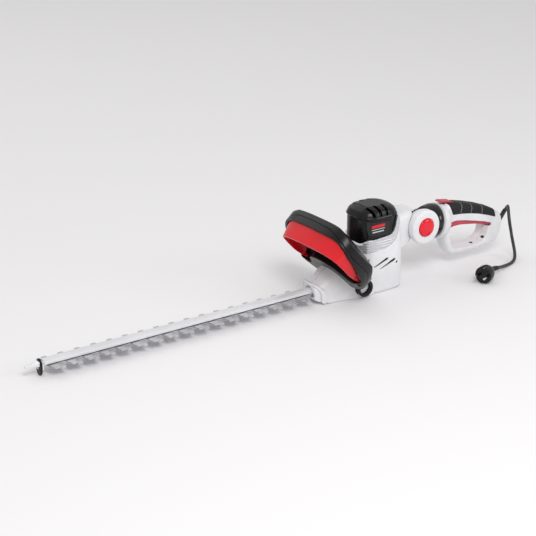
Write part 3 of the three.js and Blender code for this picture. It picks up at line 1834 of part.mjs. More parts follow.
function buildRear(root) {
  const rear = new THREE.Group();
  rear.position.set(pivot.x, 0, pivot.z);
  rear.rotation.y = THREE.MathUtils.degToRad(pivot.tilt);
  root.add(rear);
  const shell = handleShell();
  addPiece(rear, "swivel_collar", swivelCollar(), finishes.glossBlack);
  addPiece(rear, "pivot_drum_left", drumLeft(), finishes.whitePlastic);
  addPiece(rear, "pivot_drum_right", drumRight(), finishes.whitePlastic);
  addPiece(rear, "pivot_pin", pivotPin(), finishes.steel);
  addPiece(rear, "lock_button", lockButton(), finishes.redPlastic);
  addPiece(rear, "lock_spring", lockSpring(), finishes.steel);
  addPiece(rear, "swivel_ring", swivelRing(), finishes.greyPlastic);
  addPiece(rear, "handle_left", halfOf(shell, -1), finishes.whitePlastic);
  addPiece(rear, "handle_right", halfOf(shell, 1), finishes.whitePlastic);
  addPiece(rear, "grip", softGrip(), finishes.softBlack);
  addPiece(rear, "trigger", triggerBody(), finishes.dullRed);
  addPiece(rear, "lock_slide", lockSlide(), finishes.dullRed);
  addPiece(rear, "main_switch", mainSwitch(), finishes.carbon);
}

function buildCord(root) {
  addPiece(root, "strain_relief", strainRelief(), finishes.rubber);
  addPiece(root, "cord", cordBody(), finishes.rubber);
  const plugGroup = new THREE.Group();
  plugFrame().decompose(plugGroup.position, plugGroup.quaternion, plugGroup.scale);
  root.add(plugGroup);
  addPiece(plugGroup, "plug_body", plugBody(), finishes.blackPlastic);
  addPiece(plugGroup, "plug_pin_1", plugPin(-1), finishes.brightSteel);
  addPiece(plugGroup, "plug_pin_2", plugPin(1), finishes.brightSteel);
}

const group = new THREE.Group();
group.name = "hedge_trimmer";
buildBody(group);
buildMotor(group);
buildCutter(group);
buildHoop(group);
buildRear(group);
buildCord(group);

export default group;
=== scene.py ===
import json
import math

import bpy
import bmesh
import numpy as np
from mathutils import Matrix, Vector
from mathutils.kdtree import KDTree


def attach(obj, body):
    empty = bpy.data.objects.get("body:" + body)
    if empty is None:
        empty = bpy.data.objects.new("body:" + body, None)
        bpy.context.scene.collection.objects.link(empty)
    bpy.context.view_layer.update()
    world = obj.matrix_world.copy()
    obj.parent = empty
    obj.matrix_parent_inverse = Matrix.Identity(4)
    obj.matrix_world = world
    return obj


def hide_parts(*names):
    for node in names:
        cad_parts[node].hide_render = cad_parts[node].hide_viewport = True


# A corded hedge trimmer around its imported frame: the looks of every piece, a floor, light and a camera.
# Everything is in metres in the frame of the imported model, with the blade along -X and the floor at Z 0.

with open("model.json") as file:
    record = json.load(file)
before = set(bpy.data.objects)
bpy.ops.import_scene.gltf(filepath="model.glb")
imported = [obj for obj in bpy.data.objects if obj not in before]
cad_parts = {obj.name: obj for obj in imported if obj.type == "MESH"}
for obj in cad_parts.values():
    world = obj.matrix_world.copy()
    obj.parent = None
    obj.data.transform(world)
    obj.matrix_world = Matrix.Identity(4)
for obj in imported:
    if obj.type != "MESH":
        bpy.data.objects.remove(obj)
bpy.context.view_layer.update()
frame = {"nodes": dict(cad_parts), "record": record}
nodes = frame["nodes"]
slotOf = {part["node"]: part["material_slot"] for part in frame["record"]["subparts"]}
bodyOf = {node: body for body, members in frame["record"]["behaviour"]["bodies"].items() for node in members}
mm = 0.001
unmoved = Matrix.Identity(4)
print("frame loaded:", len(nodes), "nodes")


def placeAt(point):
    return Matrix.Translation(Vector(point) * mm)


def newPiece(name, data):
    piece = bpy.data.objects.new(name, data)
    bpy.context.scene.collection.objects.link(piece)
    return piece


# The camera, then the light and the floor.
view = {
    "position": (-1.8476, -2.3504, 1.2138), "azimuth": 35.0, "elevation": 21.357,
    "lens": 109.85, "sensorWidth": 36.0, "clipEnd": 30,
}

cameraData = bpy.data.cameras.new("viewCamera")
cameraData.lens = view["lens"]
cameraData.sensor_width = view["sensorWidth"]
cameraData.clip_end = view["clipEnd"]
camera = newPiece("viewCamera", cameraData)
camera.location = view["position"]
camera.rotation_euler = (math.radians(90 - view["elevation"]), 0, math.radians(-view["azimuth"]))
bpy.context.scene.camera = camera
bpy.context.scene.view_settings.view_transform = "Standard"


def linearColour(hexText):
    channels = [int(hexText[i:i + 2], 16) / 255 for i in (0, 2, 4)]
    return tuple(c / 12.92 if c <= 0.04045 else ((c + 0.055) / 1.055) ** 2.4 for c in channels) + (1.0,)


# Adds one node. Inputs are plain values, or (node, output name) pairs that become links.
def addNode(tree, kind, inputs=None, **settings):
    node = tree.nodes.new(kind)
    for key, value in settings.items():
        setattr(node, key, value)
    for name, value in (inputs or {}).items():
        if isinstance(value, tuple) and len(value) == 2 and hasattr(value[0], "outputs"):
            tree.links.new(value[0].outputs[value[1]], node.inputs[name])
        else:
            node.inputs[name].default_value = value
    return node


studio = {
    "floorColour": "EFEEEF", "backdropColour": "EDECEE", "worldColour": "F4F3F3",
    "worldStrength": 0.72, "floorHalf": 9, "lampAim": (0, 0, 0.08),
    "lamps": {  # position, energy in watts, size
        "keyLamp": ((-0.9, -1.9, 2.2), 34, 1.1),
        "fillLamp": ((1.6, -2.1, 1.15), 11, 0.9),
        "rimLamp": ((-0.6, 2.3, 2.4), 12, 2.4),
    },
}

for name, (position, energy, size) in studio["lamps"].items():
    lampData = bpy.data.lights.new(name, "AREA")
    lampData.energy = energy
    lampData.size = size
    lamp = newPiece(name, lampData)
    lamp.location = position
    towards = Vector(studio["lampAim"]) - Vector(position)
    lamp.rotation_euler = towards.to_track_quat("-Z", "Y").to_euler()

world = bpy.data.worlds.new("paleStudio")
world.use_nodes = True
bpy.context.scene.world = world
sky = world.node_tree
backdrop = sky.nodes["Background"]
backdrop.inputs["Color"].default_value = linearColour(studio["worldColour"])
backdrop.inputs["Strength"].default_value = studio["worldStrength"]
rays = addNode(sky, "ShaderNodeLightPath")
plain = {"Color": linearColour(studio["backdropColour"]), "Strength": 1.0}
seen = addNode(sky, "ShaderNodeBackground", plain)
direct = {0: (rays, "Is Camera Ray"), 1: (rays, "Is Transmission Ray")}
either = addNode(sky, "ShaderNodeMath", direct, operation="MAXIMUM")
chosen = addNode(sky, "ShaderNodeMixShader", {0: (either, 0), 1: (backdrop, 0), 2: (seen, 0)})
sky.links.new(chosen.outputs[0], sky.nodes["World Output"].inputs["Surface"])

floorMesh = bpy.data.meshes.new("studioFloor")
edge = studio["floorHalf"]
corners = [(x * edge, y * edge, 0) for x, y in ((-1, -1), (1, -1), (1, 1), (-1, 1))]
floorMesh.from_pydata(corners, [], [(0, 1, 2, 3)])
floor = newPiece("studioFloor", floorMesh)
floorFinish = bpy.data.materials.new("matPaper")  # uncoated backdrop paper: even and without gloss
floorFinish.use_nodes = True
paper = floorFinish.node_tree.nodes["Principled BSDF"]
paper.inputs["Base Color"].default_value = linearColour(studio["floorColour"])
paper.inputs["Roughness"].default_value = 0.9
paper.inputs["Specular IOR Level"].default_value = 0.1
floorMesh.materials.append(floorFinish)
print("studio ready")

# Each finish has a colour and a second one that it drifts to, the size in mm of that drift and of its grain,
# how deep the grain is in mm, and its roughness with how much that varies. All grains are drawn coarser than
# the real ones, so that they show at all. A stretch draws the grain out along one axis.
finishSettings = {
    # ABS from a finely etched mould: clean satin white that barely drifts, so the edges carry the form.
    "white_plastic": dict(
        name="mouldedWhiteAbs", colour="E4E4E6", drift="DBDBDE", patch=60, grain=0.9, depth=0.012,
        rough=0.34, vary=0.06),
    # ABS coloured through, from a smooth mould: deep black with soft clear reflections.
    "black_plastic": dict(
        name="mouldedBlackAbs", colour="100F13", drift="0C0B0E", patch=40, grain=0.8, depth=0.015,
        rough=0.27, vary=0.06, ior=1.38),
    # ABS from a polished mould: a black mirror that is only slightly wavy.
    "gloss_black": dict(
        name="polishedBlackAbs", colour="070708", drift="0A0A0C", patch=30, grain=3, depth=0.004,
        rough=0.12, vary=0.05),
    # Thermoplastic elastomer moulded over ABS: a dull pebbled black that takes the light broadly.
    "soft_black": dict(
        name="mouldedSoftTpe", colour="171618", drift="1D1C1F", patch=25, grain=0.7, depth=0.05,
        rough=0.6, vary=0.08, ior=1.38),
    # ABS from a polished mould: strong even red with a wet-looking highlight.
    "red_plastic": dict(
        name="polishedRedAbs", colour="DC101D", drift="CC0D19", patch=45, grain=3, depth=0.006,
        rough=0.2, vary=0.06),
    # Nylon from an etched mould: a paler red with a satin bloom.
    "dull_red": dict(
        name="mouldedRedNylon", colour="C04350", drift="B33B48", patch=35, grain=0.8, depth=0.02,
        rough=0.42, vary=0.08),
    # Lacquer with aluminium flake sprayed on ABS: light grey that turns brighter towards the lamps.
    "silver_paint": dict(
        name="silverLacquer", colour="D2D3D7", drift="C8C9CE", patch=45, grain=0.5, depth=0.001,
        rough=0.28, vary=0.05, metallic=0.6),
    # Nylon from an etched mould: quiet pale grey.
    "grey_plastic": dict(
        name="mouldedGreyNylon", colour="C6C7CB", drift="BCBDC2", patch=35, grain=0.8, depth=0.015,
        rough=0.42, vary=0.06),
    # Acrylic from a polished mould: the brightest red of the tool, with a sharp highlight.
    "button": dict(
        name="polishedRedAcrylic", colour="E4122A", drift="DA0F25", patch=25, grain=3, depth=0.003,
        rough=0.1, vary=0.03),
    # Elastomer moulded into the grip: dull mid grey lines.
    "inlay": dict(
        name="mouldedGreyTpe", colour="6E6E72", drift="646468", patch=20, grain=0.6, depth=0.01,
        rough=0.5, vary=0.05, ior=1.48),
    # Pressed and baked carbon powder: dark, dry and speckled.
    "carbon": dict(
        name="pressedCarbon", colour="232324", drift="2E2E30", patch=8, grain=0.4, depth=0.02,
        rough=0.7, vary=0.1),
    # PVC extruded over the cores: near black with a soft even sheen.
    "cord_rubber": dict(
        name="extrudedPvcSheath", colour="262628", drift="303032", patch=20, grain=0.5, depth=0.02,
        rough=0.5, vary=0.08),
    # Aluminium cast in a steel die: a mottled grey skin.
    "cast_aluminium": dict(
        name="dieCastAluminium", colour="9B9DA1", drift="8D8F94", patch=20, grain=1, depth=0.05,
        rough=0.5, vary=0.12, metallic=1),
    # Stamped sheets of silicon steel in a stack: dull grey, with streaks along the stack.
    "laminated_steel": dict(
        name="stackedSheetSteel", colour="6A6A6E", drift="5C5C60", patch=15, grain=0.6, depth=0.05,
        rough=0.5, vary=0.1, metallic=1, stretch=(1, 1, 0.02)),
    # Copper turned on a lathe: warm and bright, with patches where it has dulled.
    "copper": dict(
        name="turnedCopper", colour="B5713F", drift="A5632F", patch=10, grain=0.5, depth=0.01,
        rough=0.3, vary=0.1, metallic=1),
    # Steel with a bright zinc plating: clear cool reflections, a little cloudy.
    "bright_steel": dict(
        name="zincPlatedSteel", colour="C9CACD", drift="BBBCC2", patch=12, grain=0.6, depth=0.006,
        rough=0.26, vary=0.1, metallic=1),
    # Hardened steel ground along its length: pale, with grinding lines drawn coarse enough to show.
    "blade_steel": dict(
        name="groundBladeSteel", colour="CDCDD0", drift="B9B9BD", patch=30, grain=0.5, depth=0.03,
        rough=0.36, vary=0.14, metallic=0.6, stretch=(0.06, 1, 1)),
    # Aluminium extruded and anodised: almost white, with faint die lines along the bar.
    "extruded_aluminium": dict(
        name="anodisedAluminium", colour="ECECEE", drift="E2E2E5", patch=60, grain=0.6, depth=0.008,
        rough=0.3, vary=0.08, metallic=0.45, stretch=(0.02, 1, 1)),
}


# A finish with a slow drift of colour and gloss over its patches and a fine moulded, ground or cast grain.
def makeFinish(
    name, colour, drift, patch, grain, depth, rough, vary, ior=1.5, metallic=0.0, stretch=(1, 1, 1)
):
    material = bpy.data.materials.new(name)
    material.use_nodes = True
    tree = material.node_tree
    shader = tree.nodes["Principled BSDF"]
    place = addNode(tree, "ShaderNodeTexCoord")
    cloud = {"Vector": (place, "Object"), "Scale": 1000 / patch, "Detail": 3.0, "Roughness": 0.55}
    patches = addNode(tree, "ShaderNodeTexNoise", cloud)
    span = addNode(tree, "ShaderNodeMapRange", {"Value": (patches, 0), "From Min": 0.35, "From Max": 0.65})
    colours = {0: (span, 0), 6: linearColour(colour), 7: linearColour(drift)}
    mixed = addNode(tree, "ShaderNodeMix", colours, data_type="RGBA")
    tree.links.new(mixed.outputs[2], shader.inputs["Base Color"])
    least, most = rough - vary / 2, rough + vary / 2
    limits = {"Value": (patches, 0), "From Min": 0.3, "From Max": 0.7, "To Min": least, "To Max": most}
    gloss = addNode(tree, "ShaderNodeMapRange", limits)
    tree.links.new(gloss.outputs[0], shader.inputs["Roughness"])
    lengths = addNode(tree, "ShaderNodeMapping", {"Vector": (place, "Object"), "Scale": stretch})
    fine = addNode(tree, "ShaderNodeTexNoise", {"Vector": (lengths, 0), "Scale": 1000 / grain, "Detail": 2.0})
    bump = addNode(tree, "ShaderNodeBump", {"Height": (fine, 0), "Distance": depth * mm, "Strength": 1.0})
    tree.links.new(bump.outputs[0], shader.inputs["Normal"])
    shader.inputs["Metallic"].default_value = metallic
    if not metallic:
        shader.inputs["IOR"].default_value = ior
    return material


finishes = {slot: makeFinish(**settings) for slot, settings in finishSettings.items()}
for nodeName, cadObject in nodes.items():
    cadObject.data.materials.clear()
    cadObject.data.materials.append(finishes[slotOf[nodeName]])
print("finishes made:", len(finishes))

# Making functions that several pieces share; the sizes given to them are in mm.

# Within what distance points are merged, how far apart they are laid along an edge, and within what part of
# the skin's step a point is snapped to the edge.
mouldSettings = {"mergeReach": 0.005, "edgeSpacing": 0.25, "snapShare": 0.62}


# Puts a finished piece in place of its CAD nodes, on their body and in their material slot.
def install(piece, *replaced, body=None, slot=None):
    slotName = slot or slotOf[replaced[0]]
    if not piece.data.materials:
        piece.data.materials.append(finishes[slotName])
    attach(piece, body or bodyOf[replaced[0]])
    if replaced:
        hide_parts(*replaced)
    return piece


def shadeSmooth(mesh, angle=None):
    mesh.polygons.foreach_set("use_smooth", np.ones(len(mesh.polygons), bool))
    if angle:
        mesh.set_sharp_from_angle(angle=math.radians(angle))


# The result of a piece's modifiers as a plain mesh, with the modifiers taken off.
def settle(piece):
    evaluated = piece.evaluated_get(bpy.context.evaluated_depsgraph_get())
    mesh = bpy.data.meshes.new_from_object(evaluated)
    piece.modifiers.clear()
    old = piece.data
    piece.data = mesh
    bpy.data.meshes.remove(old)


def mergedCopy(nodeName, pieceName):
    work = bmesh.new()
    work.from_mesh(nodes[nodeName].data)
    bmesh.ops.remove_doubles(work, verts=work.verts, dist=mouldSettings["mergeReach"] * mm)
    mesh = bpy.data.meshes.new(pieceName)
    work.to_mesh(mesh)
    work.free()
    mesh.materials.clear()
    return newPiece(pieceName, mesh)


# Points laid along the edges that turn by more than the angle.
def sharpPoints(mesh, angle):
    work = bmesh.new()
    work.from_mesh(mesh)
    points = []
    for edge in work.edges:
        if len(edge.link_faces) == 2 and edge.calc_face_angle(0) < math.radians(angle):
            continue
        a, b = edge.verts[0].co, edge.verts[1].co
        steps = max(1, int((b - a).length / (mouldSettings["edgeSpacing"] * mm)))
        points.extend(a.lerp(b, i / steps) for i in range(steps + 1))
    work.free()
    return np.array(points)


def remeshStep(voxel):
    return voxel * mm * 1


def gathered(items, name, width, kind=float):
    values = np.zeros(len(items) * width, kind)
    items.foreach_get(name, values)
    return values.reshape(-1, width)


# A moulded form of a CAD node: an even fine skin whose points by a real edge lie on that edge, with its
# facets eased away over the given spread and its edges softly rounded. The function bend moves all points
# before that easing, and after moves them once more at the end.
def moulded(
    nodeName, pieceName, voxel=1.0, angle=50, keep=0.7, fade=2.6, spread=36, ease=4, bend=None, after=None
):
    piece = mergedCopy(nodeName, pieceName)
    edges = sharpPoints(piece.data, angle)
    remesh = piece.modifiers.new("skin", "REMESH")
    remesh.mode = "VOXEL"
    remesh.voxel_size = remeshStep(voxel)
    settle(piece)
    mesh = piece.data
    places = gathered(mesh.vertices, "co", 3)
    ends = gathered(mesh.edges, "vertices", 2, int)
    tree = KDTree(len(edges))
    for i, point in enumerate(edges):
        tree.insert(point, i)
    tree.balance()
    found = [tree.find(place) for place in places]
    near = np.array([distance for _, _, distance in found])
    onEdge = near < mouldSettings["snapShare"] * remeshStep(voxel)
    places[onEdge] = edges[[index for _, index, _ in found]][onEdge]
    if bend:
        places = bend(places)
    freedom = np.clip((near - keep * mm) / (fade * mm), 0, 1)
    places = relax(places, ends, freedom, spread)
    places = relax(places, ends, np.ones(len(places)), ease)
    if after:
        places = after(places)
    mesh.vertices.foreach_set("co", places.ravel())
    mesh.update()
    shadeSmooth(mesh)
    return piece


# Moves each point part of the way to the middle of its neighbours, as far as its freedom lets it.
def relax(places, ends, freedom, rounds):
    count = len(places)
    degree = np.bincount(ends.ravel(), minlength=count).astype(float)
    for _ in range(rounds):
        total = np.zeros_like(places)
        for axis in range(3):
            forwards = np.bincount(ends[:, 0], places[ends[:, 1], axis], count)
            total[:, axis] = forwards + np.bincount(ends[:, 1], places[ends[:, 0], axis], count)
        places = places + (total / degree[:, None] - places) * (0.5 * freedom)[:, None]
    return places


# Rounds the corners of a profile of (radius, height) points by the given length, where there is room.
def easedProfile(profile, rounding, steps):
    eased = [profile[0]]
    for before, here, after in zip(profile, profile[1:], profile[2:]):
        a, b, c = Vector(before), Vector(here), Vector(after)
        back = min(rounding, (a - b).length * 0.45)
        on = min(rounding, (c - b).length * 0.45)
        start = b + (a - b).normalized() * back
        end = b + (c - b).normalized() * on
        for i in range(steps + 1):
            t = i / steps
            eased.append(tuple(start * (1 - t) ** 2 + b * 2 * t * (1 - t) + end * t ** 2))
    eased.append(profile[-1])
    return eased


def closedMesh(name, verts, faces, place=unmoved):
    mesh = bpy.data.meshes.new(name)
    mesh.from_pydata(verts, [], faces)
    closeUp(mesh, place)
    return mesh


# A turned solid about the Z axis of its place. Its profile starts and ends on the axis, or closes.
def turned(name, profile, place, segments=96, rounding=0, steps=4):
    if rounding:
        profile = easedProfile(profile, rounding, steps)
    verts, rings, faces = [], [], []
    for radius, height in profile:
        if radius < 1e-6:
            rings.append([len(verts)])
            verts.append((0, 0, height * mm))
            continue
        rings.append(list(range(len(verts), len(verts) + segments)))
        for i in range(segments):
            angle = 2 * math.pi * i / segments
            verts.append((radius * mm * math.cos(angle), radius * mm * math.sin(angle), height * mm))
    for low, high in zip(rings, rings[1:]):
        for i in range(segments):
            j = (i + 1) % segments
            corners = [low[i % len(low)], low[j % len(low)], high[j % len(high)], high[i % len(high)]]
            unique = list(dict.fromkeys(corners))
            if len(unique) > 2:
                faces.append(unique)
    return newPiece(name, closedMesh(name, verts, faces, place))


# Merges the seams of a mesh, sets it in its place and turns its faces outwards.
def closeUp(mesh, place=unmoved):
    work = bmesh.new()
    work.from_mesh(mesh)
    bmesh.ops.remove_doubles(work, verts=work.verts, dist=0.001 * mm)
    bmesh.ops.transform(work, matrix=place, verts=work.verts)
    bmesh.ops.recalc_face_normals(work, faces=work.faces)
    work.to_mesh(mesh)
    work.free()
    shadeSmooth(mesh, 40)


# Cuts other pieces out of a piece, or keeps what it has in common with them; the others are then removed.
def combined(piece, operation, *others):
    for other in others:
        boolean = piece.modifiers.new("combined", "BOOLEAN")
        boolean.operation = operation
        boolean.solver = "EXACT"
        boolean.object = other
    settle(piece)
    for other in others:
        bpy.data.objects.remove(other)


def cutWith(piece, *cutters):
    combined(piece, "DIFFERENCE", *cutters)
    closeUp(piece.data)
    return piece


def blockAt(name, low, high, place=unmoved):
    work = bmesh.new()
    size = Vector(high) - Vector(low)
    middle = (Vector(high) + Vector(low)) / 2
    bmesh.ops.create_cube(work, size=1)
    bmesh.ops.scale(work, vec=size * mm, verts=work.verts)
    bmesh.ops.translate(work, vec=middle * mm, verts=work.verts)
    bmesh.ops.transform(work, matrix=place, verts=work.verts)
    mesh = bpy.data.meshes.new(name)
    work.to_mesh(mesh)
    work.free()
    return newPiece(name, mesh)


# A block on the side 1 of an axis, or its mirror image on the side -1.
def sideBlock(name, side, axis, low, high, place=unmoved):
    low, high = list(low), list(high)
    low[axis], high[axis] = sorted((side * low[axis], side * high[axis]))
    return blockAt(name, low, high, place)


# The faces between rings of points that have equal counts.
def ringFaces(levels, count):
    faces = []
    for low in range(0, (levels - 1) * count, count):
        for i in range(count):
            j = (i + 1) % count
            faces.append((low + i, low + j, low + count + j, low + count + i))
    return faces


# A closed form through rings of points.
def lofted(name, rings, smooth=40):
    count = len(rings[0])
    verts = [tuple(Vector(point) * mm) for ring in rings for point in ring]
    ends = [tuple(range(count)), tuple(range(len(verts) - count, len(verts)))]
    mesh = closedMesh(name, verts, ends + ringFaces(len(rings), count))
    shadeSmooth(mesh, smooth)
    return newPiece(name, mesh)


def rounded(piece, width, angle=40):
    bevel = piece.modifiers.new("edge", "BEVEL")
    bevel.width = width * mm
    bevel.segments = 2
    bevel.limit_method = "ANGLE"
    bevel.angle_limit = math.radians(angle)
    settle(piece)
    shadeSmooth(piece.data, angle)
    return piece


# The free length of the mains cord, from the end of its strain relief to the plug's neck, and the relief.
cordSettings = {
    "diameter": 6.5, "steps": 140,
    "route": [
        (392.1, -8.6, 91.1), (390.7, -14.2, 98.1), (387, -20.9, 103.4), (380.9, -28.1, 106.4),
        (374.9, -35.7, 105.9), (369.4, -42.7, 102.4), (365.3, -48.7, 96.1), (363.2, -53.1, 87.8),
        (363.4, -55.4, 78.4), (365.9, -55.4, 69), (370.1, -52.9, 60.9), (375, -49.2, 53.7),
        (379.4, -46.6, 45.7), (382.2, -46.6, 36.4), (383.1, -49, 26.9), (381.7, -53.7, 18.5),
        (377.9, -59.7, 11.8), (372.1, -65.8, 7), (364.4, -71.1, 4.2), (355.8, -75.3, 3.4),
        (346.8, -78.6, 3.4), (337.8, -81.4, 3.8), (328.9, -84.3, 5), (320, -87.6, 6.6),
        (311.3, -91.1, 8.4), (302.7, -94.8, 10.5), (294.5, -98.4, 12.6),
    ],
    "relief": [(374, 1, 56), (380.5, 0.2, 63.2), (388.6, -0.3, 73.2), (393, -3.1, 83.2), (392.1, -8.2, 90.5)],
    "reliefRadii": (5.6, 4.4),
    "reliefSteps": 90, "reliefRings": 180,
    "ribSpan": (0.3, 0.92), "ribCount": 8, "ribHeight": 0.5,
}


# A spline through points in mm, as evenly spaced points in metres, with its length.
def smoothPath(points, count):
    curve = bpy.data.curves.new("path", "CURVE")
    curve.dimensions = "3D"
    spline = curve.splines.new("BEZIER")
    spline.bezier_points.add(len(points) - 1)
    for knot, point in zip(spline.bezier_points, points):
        knot.co = Vector(point) * mm
        knot.handle_left_type = knot.handle_right_type = "AUTO"
    spline.resolution_u = 12
    holder = newPiece("path", curve)
    bpy.context.view_layer.update()
    mesh = holder.to_mesh()
    raw = np.array([v.co for v in mesh.vertices])
    bpy.data.objects.remove(holder)
    steps = np.concatenate([[0], np.cumsum(np.linalg.norm(np.diff(raw, axis=0), axis=1))])
    wanted = np.linspace(0, steps[-1], count)
    even = np.stack([np.interp(wanted, steps, raw[:, axis]) for axis in range(3)], axis=1)
    return [Vector(point) for point in even], steps[-1]


# A closed round tube along a path; radii in mm are spread evenly along it.
def tubeMesh(name, path, radii, sides=24):
    verts = []
    along = [(path[min(i + 1, len(path) - 1)] - path[max(i - 1, 0)]).normalized() for i in range(len(path))]
    side = along[0].orthogonal().normalized()
    positions = np.linspace(0, 1, len(radii))
    for i, (point, forward) in enumerate(zip(path, along)):
        side = (side - forward * side.dot(forward)).normalized()
        across = forward.cross(side)
        radius = float(np.interp(i / (len(path) - 1), positions, radii)) * mm
        for k in range(sides):
            angle = 2 * math.pi * k / sides
            verts.append(point + side * radius * math.cos(angle) + across * radius * math.sin(angle))
    ends = [tuple(reversed(range(sides))), tuple(range(len(verts) - sides, len(verts)))]
    return closedMesh(name, verts, ringFaces(len(path), sides) + ends)


cordPath, cordLength = smoothPath(cordSettings["route"], cordSettings["steps"])
mainsCord = newPiece("mains_cord", tubeMesh("mains_cord", cordPath, [cordSettings["diameter"] / 2] * 2))
install(mainsCord, "cord")
print("cord laid:", round(cordLength, 4), "m")


# The strain relief tapers, with ribs around its middle part.
def reliefRadii():
    c = cordSettings
    start, end = c["reliefRadii"]
    ribsFrom, ribsTo = c["ribSpan"]
    radii = []
    for i in range(c["reliefRings"]):
        t = i / (c["reliefRings"] - 1)
        inRibs = ribsFrom < t < ribsTo
        wave = math.sin(math.pi * c["ribCount"] * 2 * (t - ribsFrom) / (ribsTo - ribsFrom)) if inRibs else 0
        radii.append(start + (end - start) * t - (c["ribHeight"] if wave < -0.1 else 0))
    return radii


reliefPath, _ = smoothPath(cordSettings["relief"], cordSettings["reliefSteps"])
strainRelief = newPiece("cord_relief", tubeMesh("cord_relief", reliefPath, reliefRadii()))
install(strainRelief, "strain_relief")

# The plug lies on the floor beside the rear handle, its two pins side by side. The profile of its shell is
# given as radius and height over its back, and the ribs of its neck as the part of the neck that they take.
plugSettings = {
    "radius": 17.6, "length": 36,
    "shell": [(0, 0), (7, 0), (10, 6), (15.5, 13), (17, 19), (17.6, 24)],
    "shellEase": 2.2, "edge": 0.35,
    "face": (232.7, -123.4, 17.9), "heading": 24.3,
    "pinRadius": 2.4, "pinLength": 19, "pinPitch": 19,
    "sleeveLength": 8.5, "sleeveProud": 0.5,
    "notchDepth": 3.4, "notchWidth": 5.4, "notchLength": 17, "contactHalf": 1.6,
    "neckRadii": (6.5, 4.3), "neckSteps": 80, "neckRings": 120,
    "neckRibs": (0.35, 0.95), "neckRibDepth": 0.45,
}
plugTurn = Matrix.Rotation(math.pi + math.radians(plugSettings["heading"]), 4, "Z")
plugPlace = placeAt(plugSettings["face"]) @ plugTurn
alongX = Matrix.Rotation(math.radians(90), 4, "Y")


def makePlugShell():
    s = plugSettings
    r = s["radius"]
    profile = [(radius, height - s["length"]) for radius, height in s["shell"]] + [(r, 0), (0, 0)]
    shell = turned("plug_shell", profile, plugPlace @ alongX, 72, s["shellEase"], 6)
    half = s["notchWidth"] / 2
    low, high = (-s["notchLength"], -half, r - s["notchDepth"]), (3, half, r + 3)
    cutWith(shell, *(sideBlock("notch", side, 2, low, high, plugPlace) for side in (-1, 1)))
    rounded(shell, s["edge"], 50)
    shadeSmooth(shell.data, 40)
    return install(shell, "plug_body")


# The neck runs from inside the shell's back on to the end of the cord, with ribs that let it bend.
def makePlugNeck():
    s = plugSettings
    back = s["length"]
    toPlug = plugPlace.inverted()
    end = toPlug @ cordPath[-1]
    onward = (end - toPlug @ cordPath[-2]).normalized()
    points = [
        Vector((-back + 6, 0, 0)), Vector((-back - 6, end.y / mm * 0.3, end.z / mm * 0.2)),
        (end + onward * 10 * mm) / mm, (end + onward * 0.2 * mm) / mm,
    ]
    path, _ = smoothPath([tuple(point) for point in points], s["neckSteps"])
    neckStart, neckEnd = s["neckRadii"]
    ribsFrom, ribsTo = s["neckRibs"]
    radii = []
    for i in range(s["neckRings"]):
        t = i / (s["neckRings"] - 1)
        inRib = ribsFrom < t < ribsTo and (i // 6) % 2
        radii.append(neckStart + (neckEnd - neckStart) * t - (s["neckRibDepth"] if inRib else 0))
    neck = newPiece("plug_neck", tubeMesh("plug_neck", [plugPlace @ point for point in path], radii))
    return install(neck, body="rear_handle", slot="black_plastic")


# Two pins, each in a black sleeve at its root, and the two earth contacts in the notches of the shell.
def makePlugContacts():
    s = plugSettings
    pr, pl = s["pinRadius"], s["pinLength"]
    sr, sl = pr + s["sleeveProud"], s["sleeveLength"]
    pinProfile = [(0, 0.2), (pr, 0.2), (pr, pl - 1.4), (pr * 0.45, pl), (0, pl)]
    sleeveProfile = [(0, -0.5), (sr, -0.5), (sr, sl), (pr + 0.05, sl + 0.5), (0, sl + 0.5)]
    made = []
    for i, side in enumerate((-1, 1)):
        pinPlace = plugPlace @ Matrix.Translation((0, side * s["pinPitch"] / 2 * mm, 0)) @ alongX
        pin = turned(f"plug_contact_{i + 1}", pinProfile, pinPlace, 40, 0.6)
        made.append(install(pin, f"plug_pin_{i + 1}"))
        sleeve = turned(f"plug_sleeve_{i + 1}", sleeveProfile, pinPlace, 40, 0.4)
        made.append(install(sleeve, body="rear_handle", slot="black_plastic"))
    notchFloor = s["radius"] - s["notchDepth"]
    low = (-s["notchLength"] + 1, -s["contactHalf"], notchFloor - 0.2)
    high = (-1, s["contactHalf"], notchFloor + 0.5)
    for side, name in ((-1, "plug_earth_low"), (1, "plug_earth_high")):
        contact = sideBlock(name, side, 2, low, high, plugPlace)
        made.append(install(contact, body="rear_handle", slot="bright_steel"))
    return made


plugPieces = [makePlugShell(), makePlugNeck()] + makePlugContacts()
print("plug made")

# The turned pieces of the tilting and turning joint. The heights of drums and button lie along the cross
# axis, those of the collar and the ring along the handle. The button's well is a radius and its floor's
# height over the drum's face.
swivelSettings = {
    "pivot": (147, 0, 114), "tilt": 10,
    "drumRadius": 35, "drumWaist": 31, "drumInner": 20.8, "drumOuter": 47,
    "farRadius": 25, "farOuter": 40,
    "buttonRadius": 18.5, "buttonDome": 5.2, "buttonWell": (11.5, -1.0), "buttonBack": 6,
    "pinRadius": 5, "clearance": 0.3, "drumRoom": 0.4,
    "collarFront": 30, "collarRear": 57, "collarRadius": 34.8, "collarBore": 12,
    "spigotRadius": 17.5, "flange": (22, 68.5, 72.5),
    "ringRear": 61.9, "ringRadius": 36,
}
pivotPlace = placeAt(swivelSettings["pivot"])
rearPlace = pivotPlace @ Matrix.Rotation(math.radians(swivelSettings["tilt"]), 4, "Y")
alongY = Matrix.Rotation(math.radians(-90), 4, "X")
crossPlace, handlePlace = rearPlace @ alongY, rearPlace @ alongX


